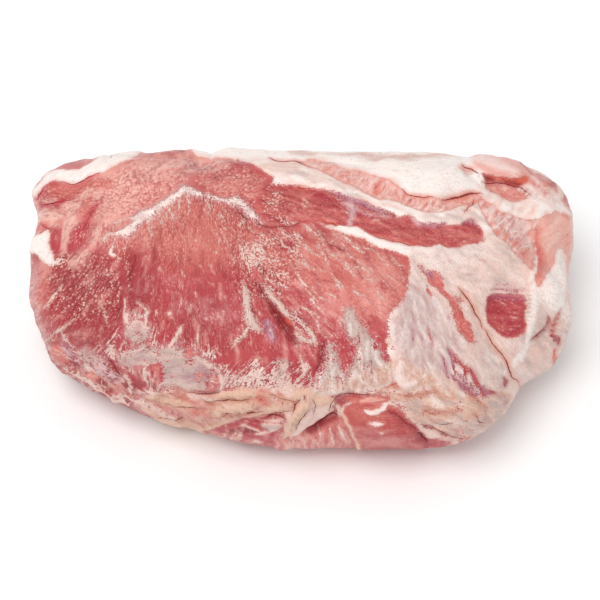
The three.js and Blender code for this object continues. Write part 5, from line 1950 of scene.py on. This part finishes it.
@dataclass(frozen=True)
class RawMeat:
    """The finish of raw pork: fibrous lean, fat and silverskin under a moist film."""

    streak: tuple[float, float, float] = (11.0, 2.2, 4.0)
    fibre: tuple[float, float, float] = (4.4, 0.8, 1.1)
    vein: tuple[float, float, float] = (11.0, 2.4, 3.0)
    sand: tuple[float, float, float] = (1.3, 0.7, 0.9)
    grit: tuple[float, float, float] = (0.7, 0.7, 0.7)
    granule: tuple[float, float, float] = (1.7, 1.05, 1.3)
    ruffle: tuple[float, float, float] = (2.6, 2.6, 2.6)
    cloud: tuple[float, float, float] = (16.0, 16.0, 16.0)
    lean_roughness: float = 0.4
    fat_roughness: float = 0.5
    bump: float = 0.8
    relief: float = 0.0006

    def material(self) -> bpy.types.Material:
        """Wires the finish.

        Returns:
            The material.
        """
        material = bpy.data.materials.new("raw_pork")
        g = Graph(material)
        grain = g.attribute("grain", "Vector")
        place = g.add("ShaderNodeTexCoord").outputs["Object"]
        place = g.add("ShaderNodeVectorMath", {0: place, "Scale": 1.0 / MM}, operation="SCALE").outputs[0]
        steady = g.attribute("steady")
        flecks = g.attribute("flecks")
        streak = g.times(g.noise(grain, self.streak, 3.0), steady)
        fibre = g.times(g.noise(grain, self.fibre, 2.0), steady)
        sand = g.times(g.noise(grain, self.sand, 1.0), steady)
        vein = g.math("ABSOLUTE", g.noise(grain, self.vein, 2.0))
        granule, chance = g.cells(grain, self.granule)
        granule = g.total((g.times(g.total((granule, 1.0), (-0.5, 1.0)), steady), 1.0), (0.5, 1.0))
        grit = g.noise(place, self.grit, 1.0)
        ruffle = g.noise(place, self.ruffle, 2.0)
        cloud = g.noise(place, self.cloud, 3.0)

        hair = g.times(g.ease(vein, 0.34, 0.0), steady, g.attribute("veins"))
        coarse = g.total((streak, 0.5), (fibre, 0.5), (ruffle, 0.5), (hair, 1.6), (-0.2, 1.0))
        fine = g.total((sand, 0.7), (grit, 0.7), (granule, -1.2), (0.65, 1.0))
        frayed = g.total((coarse, 0.8), (g.times(fine, flecks), 0.9), (grit, 0.35))
        fray = g.times(frayed, g.attribute("ragged"))
        fat = g.math("ADD", g.attribute("fat"), fray)
        film = g.math("ADD", g.attribute("film"), fray)

        lean = self.lean(g, streak, fibre, sand, grit, cloud, granule, chance)
        marbling = g.times(g.ease(vein, 0.12, 0.02), g.ease(cloud, -0.6, 0.3), g.attribute("veins"), steady)
        lean = g.mix(marbling, lean, rgba(Hue.PALE_PEACH))
        lean = g.mix(g.ease(fat, -1.2, 0.0, 0.4), lean, rgba(Hue.PEACH))
        woven = g.ease(g.total((fibre, 0.7), (ruffle, 0.6)), -0.6, 0.5)
        sheer = g.mix(woven, rgba(Hue.VIOLET), rgba(Hue.FILM))
        cover = g.ease(film, -1.4, 2.0, 0.85)
        veil = g.times(cover, g.ease(g.total((fibre, 0.8), (grit, 0.5), (ruffle, 0.6)), -0.9, 0.6))
        lean = g.mix(veil, lean, sheer)

        rind = g.attribute("fat_colour", "Color")
        hairs = g.total((fibre, 0.7), (sand, 0.5), (grit, 0.3))
        rind = g.mix(g.ease(g.total((streak, 0.7), (ruffle, 0.4)), 0.1, 0.9, 0.3), rind, rgba(Hue.GREY_FAT))
        rind = g.mix(g.ease(hairs, 0.1, 1.1, 0.45), rind, rgba(Hue.TAN))
        rind = g.mix(g.ease(hairs, -0.1, -1.1, 0.6), rind, rgba(Hue.WHITE))
        rind = g.mix(g.times(g.ease(fine, 0.1, -0.8, 0.6), flecks), rind, rgba(Hue.TAN))
        rind = g.mix(g.ease(fat, 1.6, 0.0, 0.35), rind, rgba(Hue.PEACH))
        fatty = g.ease(fat, -0.25, 0.25)
        colour = g.mix(fatty, lean, rind)

        wander = g.math("MULTIPLY", grit, 0.3)
        side = g.math("ADD", g.math("ABSOLUTE", g.attribute("thread_side")), wander)
        across, ends = g.ease(side, 1.2, 0.4), g.ease(g.attribute("thread_far"), 1.6, 0.9, 0.8)
        thread = g.times(across, ends, g.ease(sand, -0.7, 0.3))
        colour = g.mix(g.math("MULTIPLY", thread, 0.75), colour, rgba(Hue.PINK_FAT))
        # The dark line in each crack: partly the deeper red of the slit, partly painted shade in the
        # crevice.
        side = g.math("ADD", g.math("ABSOLUTE", g.attribute("crack_side")), wander)
        crack = g.times(g.ease(side, 0.95, 0.2), g.ease(g.attribute("crack_far"), 2.0, 1.1, 0.95))
        colour = g.mix(crack, colour, rgba(Hue.CRACK))

        rough = self.fat_roughness - self.lean_roughness
        uneven = ((grit, 0.06), (cloud, 0.05), (crack, 0.4))
        roughness = g.total((fatty, rough), *uneven, (self.lean_roughness, 1.0))
        texture = g.total((fibre, 0.4), (sand, 0.3), (granule, -0.5))
        steps = ((fatty, 0.5), (thread, 0.5), (marbling, 0.3), (crack, -0.5))
        height = g.total((texture, 0.6), (grit, 0.2), *steps)
        bump = g.add("ShaderNodeBump", {"Strength": self.bump, "Distance": self.relief, "Height": height})
        shader = g.add(
            "ShaderNodeBsdfPrincipled",
            {
                "Base Color": colour,
                "Roughness": roughness,
                "Normal": bump.outputs[0],
                "Subsurface Weight": 0.15,
                "Subsurface Radius": (1.0, 0.35, 0.25),
                "Subsurface Scale": 0.0025,
                "Specular IOR Level": 0.35,
                "Coat Weight": g.total((crack, -0.3), (0.3, 1.0)),
                "Coat Roughness": 0.2,
            },
        )
        g.add("ShaderNodeOutputMaterial", {"Surface": shader.outputs[0]})
        return material

    def lean(self, g: Graph, *noises: bpy.types.NodeSocket) -> bpy.types.NodeSocket:
        """Wires the colour of the lean, with small painted glints on its granules.

        Args:
            g: The material's wiring.
            noises: Streak, fibre, sand, grit, cloud, distance to a granule and its random number.

        Returns:
            The colour.
        """
        streak, fibre, sand, grit, cloud, granule, chance = noises
        fibres, flecks = g.attribute("fibres"), g.attribute("flecks")
        base = g.attribute("lean_colour", "Color")
        dark = g.mix(1.0, base, (0.66, 0.35, 0.37, 1.0), "MULTIPLY")
        light = g.mix(0.55, base, rgba(Hue.PALE_PEACH))
        pebble = g.ease(g.total((granule, 1.0), (grit, 0.14)), 0.65, 0.1)
        gap = g.ease(g.total((granule, 1.0), (sand, -0.15)), 0.5, 0.85)
        pale = g.times(pebble, g.ease(chance, 0.1, 0.9))
        speckle = g.times(g.total((pale, 2.4), (gap, -1.0), (-0.4, 1.0)), flecks)
        lines = g.times(g.total((streak, 0.45), (fibre, 0.7)), fibres)
        texture = g.total((lines, 0.9), (sand, 0.5), (grit, 0.35), (cloud, 0.3), (speckle, 0.8))
        lean = g.mix(g.ease(texture, 0.1, -1.3, 0.85), base, dark)
        lean = g.mix(g.ease(texture, 0.1, 1.4, 0.8), lean, light)
        # Painted glints: a few of the brightest granules turned much paler.
        painted_glints = g.times(pebble, g.ease(chance, 0.75, 1.0), flecks)
        return g.mix(g.math("MULTIPLY", painted_glints, 0.5), lean, rgba(Hue.PALE_PEACH))


@dataclass
class PorkNeck:
    """The block of meat.

    Attributes:
        levels: How many times the block's facets are split.
        trim: How far the meat's middle height lies under the plain block.
        lumps: Height of the broad unevenness.
        ripples: Height of the ripples along the fibres.
        fat_ripples: How much higher they are in fat.
        fat_rise: How far fat stands over lean.
        finish: What it is dressed in.
        regions: What lies where on it, from the lowest layer up.
    """

    levels: int = 2
    trim: float = 0.6
    lumps: float = 0.55
    ripples: float = 0.28
    fat_ripples: float = 0.1
    fat_rise: float = 0.45
    finish: RawMeat = RawMeat()
    regions: tuple[Region, ...] = ()

    def build(self) -> bpy.types.Object:
        """Makes the piece that shows in place of the plain block.

        Returns:
            The piece.
        """
        piece = bpy.data.objects.new("neck_meat", self.fine_mesh(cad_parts["pork_neck"]))
        bpy.context.scene.collection.objects.link(piece)
        skin = self.skin_of(piece.data)
        for region in self.regions:
            region.dress(skin)
        self.carve(piece.data, skin)
        self.paint(piece.data, skin)
        piece.data.materials.clear()
        piece.data.materials.append(self.finish.material())
        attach(piece, "root")
        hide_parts("pork_neck")
        return piece

    def fine_mesh(self, node: bpy.types.Object) -> bpy.types.Mesh:
        """Copies the block and splits its facets into small smooth ones."""
        coarse = node.data.copy()
        shape = bmesh.new()
        shape.from_mesh(coarse)
        bmesh.ops.remove_doubles(shape, verts=shape.verts, dist=0.01 * MM)
        bmesh.ops.join_triangles(
            shape, faces=shape.faces, angle_face_threshold=math.pi, angle_shape_threshold=math.pi
        )
        shape.to_mesh(coarse)
        shape.free()
        holder = bpy.data.objects.new("coarse", coarse)
        bpy.context.scene.collection.objects.link(holder)
        split = holder.modifiers.new("split", "SUBSURF")
        split.levels = self.levels
        split.boundary_smooth = "ALL"
        graph = bpy.context.evaluated_depsgraph_get()
        fine = bpy.data.meshes.new_from_object(holder.evaluated_get(graph))
        bpy.data.objects.remove(holder)
        bpy.data.meshes.remove(coarse)
        for layer in list(fine.uv_layers):
            fine.uv_layers.remove(layer)
        fine.polygons.foreach_set("use_smooth", np.ones(len(fine.polygons), bool))
        return fine

    def skin_of(self, mesh: bpy.types.Mesh) -> Skin:
        """Reads the mesh's points and which way it faces there."""
        points = np.empty(len(mesh.vertices) * 3)
        mesh.vertices.foreach_get("co", points)
        normals = np.empty(len(mesh.vertices) * 3)
        mesh.vertex_normals.foreach_get("vector", normals)
        return Skin(points.reshape(-1, 3) / MM, normals.reshape(-1, 3))

    def carve(self, mesh: bpy.types.Mesh, skin: Skin) -> None:
        """Moves the mesh's points by the skin's height and by its fine ripples."""
        lumps = Noise(3).layered(skin.points / 11.0)
        ripples = Noise(5).layered(skin.grain / (9.0, 3.4, 6.0), 2)
        folds = 1.0 - 2.5 * np.abs(Noise(6).layered(skin.grain / (16.0, 4.0, 6.0), 2))
        fatty = smooth(-1.0, 1.0, skin.fat)
        rippled = (self.ripples + self.fat_ripples * fatty) * skin.steady * ripples
        height = skin.height + self.lumps * lumps + rippled + self.fat_rise * fatty
        height += skin.waves * skin.steady * folds - self.trim
        moved = skin.points + skin.normals * height[:, None]
        low, high = np.array(CAD_BOX[0]) / MM, np.array(CAD_BOX[1]) / MM
        moved = np.clip(moved, low, high)
        mesh.vertices.foreach_set("co", (moved * MM).ravel())
        mesh.update()

    def paint(self, mesh: bpy.types.Mesh, skin: Skin) -> None:
        """Hands the skin's fields to the mesh, for the finish to read."""
        names = ("fat", "film", "ragged", "flecks", "fibres", "veins", "steady")
        lines = ("crack_side", "crack_far", "thread_side", "thread_far")
        for name in (*names, *lines):
            values = np.clip(getattr(skin, name), -FAR, FAR)
            mesh.attributes.new(name, "FLOAT", "POINT").data.foreach_set("value", values)
        mesh.attributes.new("grain", "FLOAT_VECTOR", "POINT").data.foreach_set("vector", skin.grain.ravel())
        for name, colours in {"lean_colour": skin.lean_colour, "fat_colour": skin.fat_colour}.items():
            whole = np.concatenate([colours, np.ones((len(colours), 1))], axis=1)
            mesh.attributes.new(name, "FLOAT_COLOR", "POINT").data.foreach_set("color", whole.ravel())


@dataclass
class Studio:
    """The pale floor, the soft lights and the camera."""

    lens: float = 132.0
    floor_size: float = 6.0
    floor_roughness: float = 0.9
    room_light: float = 0.72
    lamps: tuple[tuple[str, tuple[float, float, float], float, float], ...] = (
        ('key', (-0.4, -0.4, 1.75), 1.1, 18.0), ('front', (0.1, -1.9, 0.5), 1.4, 2.0),
    )

    def build(self) -> None:
        """Sets the whole studio up."""
        self.floor()
        self.light()
        self.camera()

    def floor(self) -> None:
        """Lays the floor."""
        half = self.floor_size / 2.0
        mesh = bpy.data.meshes.new("floor")
        corners = [(-half, -half, 0.0), (half, -half, 0.0), (half, half, 0.0), (-half, half, 0.0)]
        mesh.from_pydata(corners, [], [(0, 1, 2, 3)])
        floor = bpy.data.objects.new("floor", mesh)
        bpy.context.scene.collection.objects.link(floor)
        material = bpy.data.materials.new("floor")
        g = Graph(material)
        paint = {"Base Color": rgba(Hue.FLOOR), "Roughness": self.floor_roughness}
        shader = g.add("ShaderNodeBsdfPrincipled", paint)
        g.add("ShaderNodeOutputMaterial", {"Surface": shader.outputs[0]})
        mesh.materials.append(material)

    def light(self) -> None:
        """Hangs the soft lamps and lights the room."""
        for name, place, size, power in self.lamps:
            lamp = bpy.data.lights.new(name, "AREA")
            lamp.shape = "DISK"
            lamp.size = size
            lamp.energy = power
            holder = bpy.data.objects.new(name, lamp)
            bpy.context.scene.collection.objects.link(holder)
            holder.location = place
            holder.rotation_euler = (-Vector(place)).to_track_quat("-Z", "Y").to_euler()
        world = bpy.data.worlds.new("room")
        bpy.context.scene.world = world
        world.use_nodes = True
        world.node_tree.nodes["Background"].inputs["Color"].default_value = (1.0, 1.0, 1.0, 1.0)
        world.node_tree.nodes["Background"].inputs["Strength"].default_value = self.room_light
        bpy.context.scene.view_settings.view_transform = "Standard"

    def camera(self) -> None:
        """Aims the camera as the photograph was taken."""
        towards = Vector(SHOWN.axes()[0])
        target = Vector(SHOWN.middle)
        data = bpy.data.cameras.new("camera")
        data.lens = self.lens
        data.sensor_width = 36.0
        camera = bpy.data.objects.new("camera", data)
        bpy.context.scene.collection.objects.link(camera)
        camera.location = (target + towards * SHOWN.distance) * MM
        camera.rotation_euler = (-towards).to_track_quat("-Z", "Y").to_euler()
        bpy.context.scene.camera = camera


def main() -> None:
    """Builds the meat and the studio, and notes the sizes."""
    logging.basicConfig(level=logging.INFO, format="%(name)s: %(message)s")
    neck = PorkNeck(
        regions=(
            BackCap(),
            CutEnd(view=RIGHT_END, low=0.15, lean=RIGHT_MUSCLES),
            CutEnd(view=LEFT_END, low=0.15, lean=LEFT_MUSCLES),
            FrontFoot(),
            MainMuscle(),
            SmallMuscles(),
            BackFat(),
            RightFat(),
            CornerFold(),
            Silverskin(),
            Tendons(),
            FrayedEdge(),
            FrontStraps(),
        )
    )
    piece = neck.build()
    LOG.info("%s has %d faces", piece.name, len(piece.data.polygons))
    Studio().build()


if __name__ == "__main__":
    main()
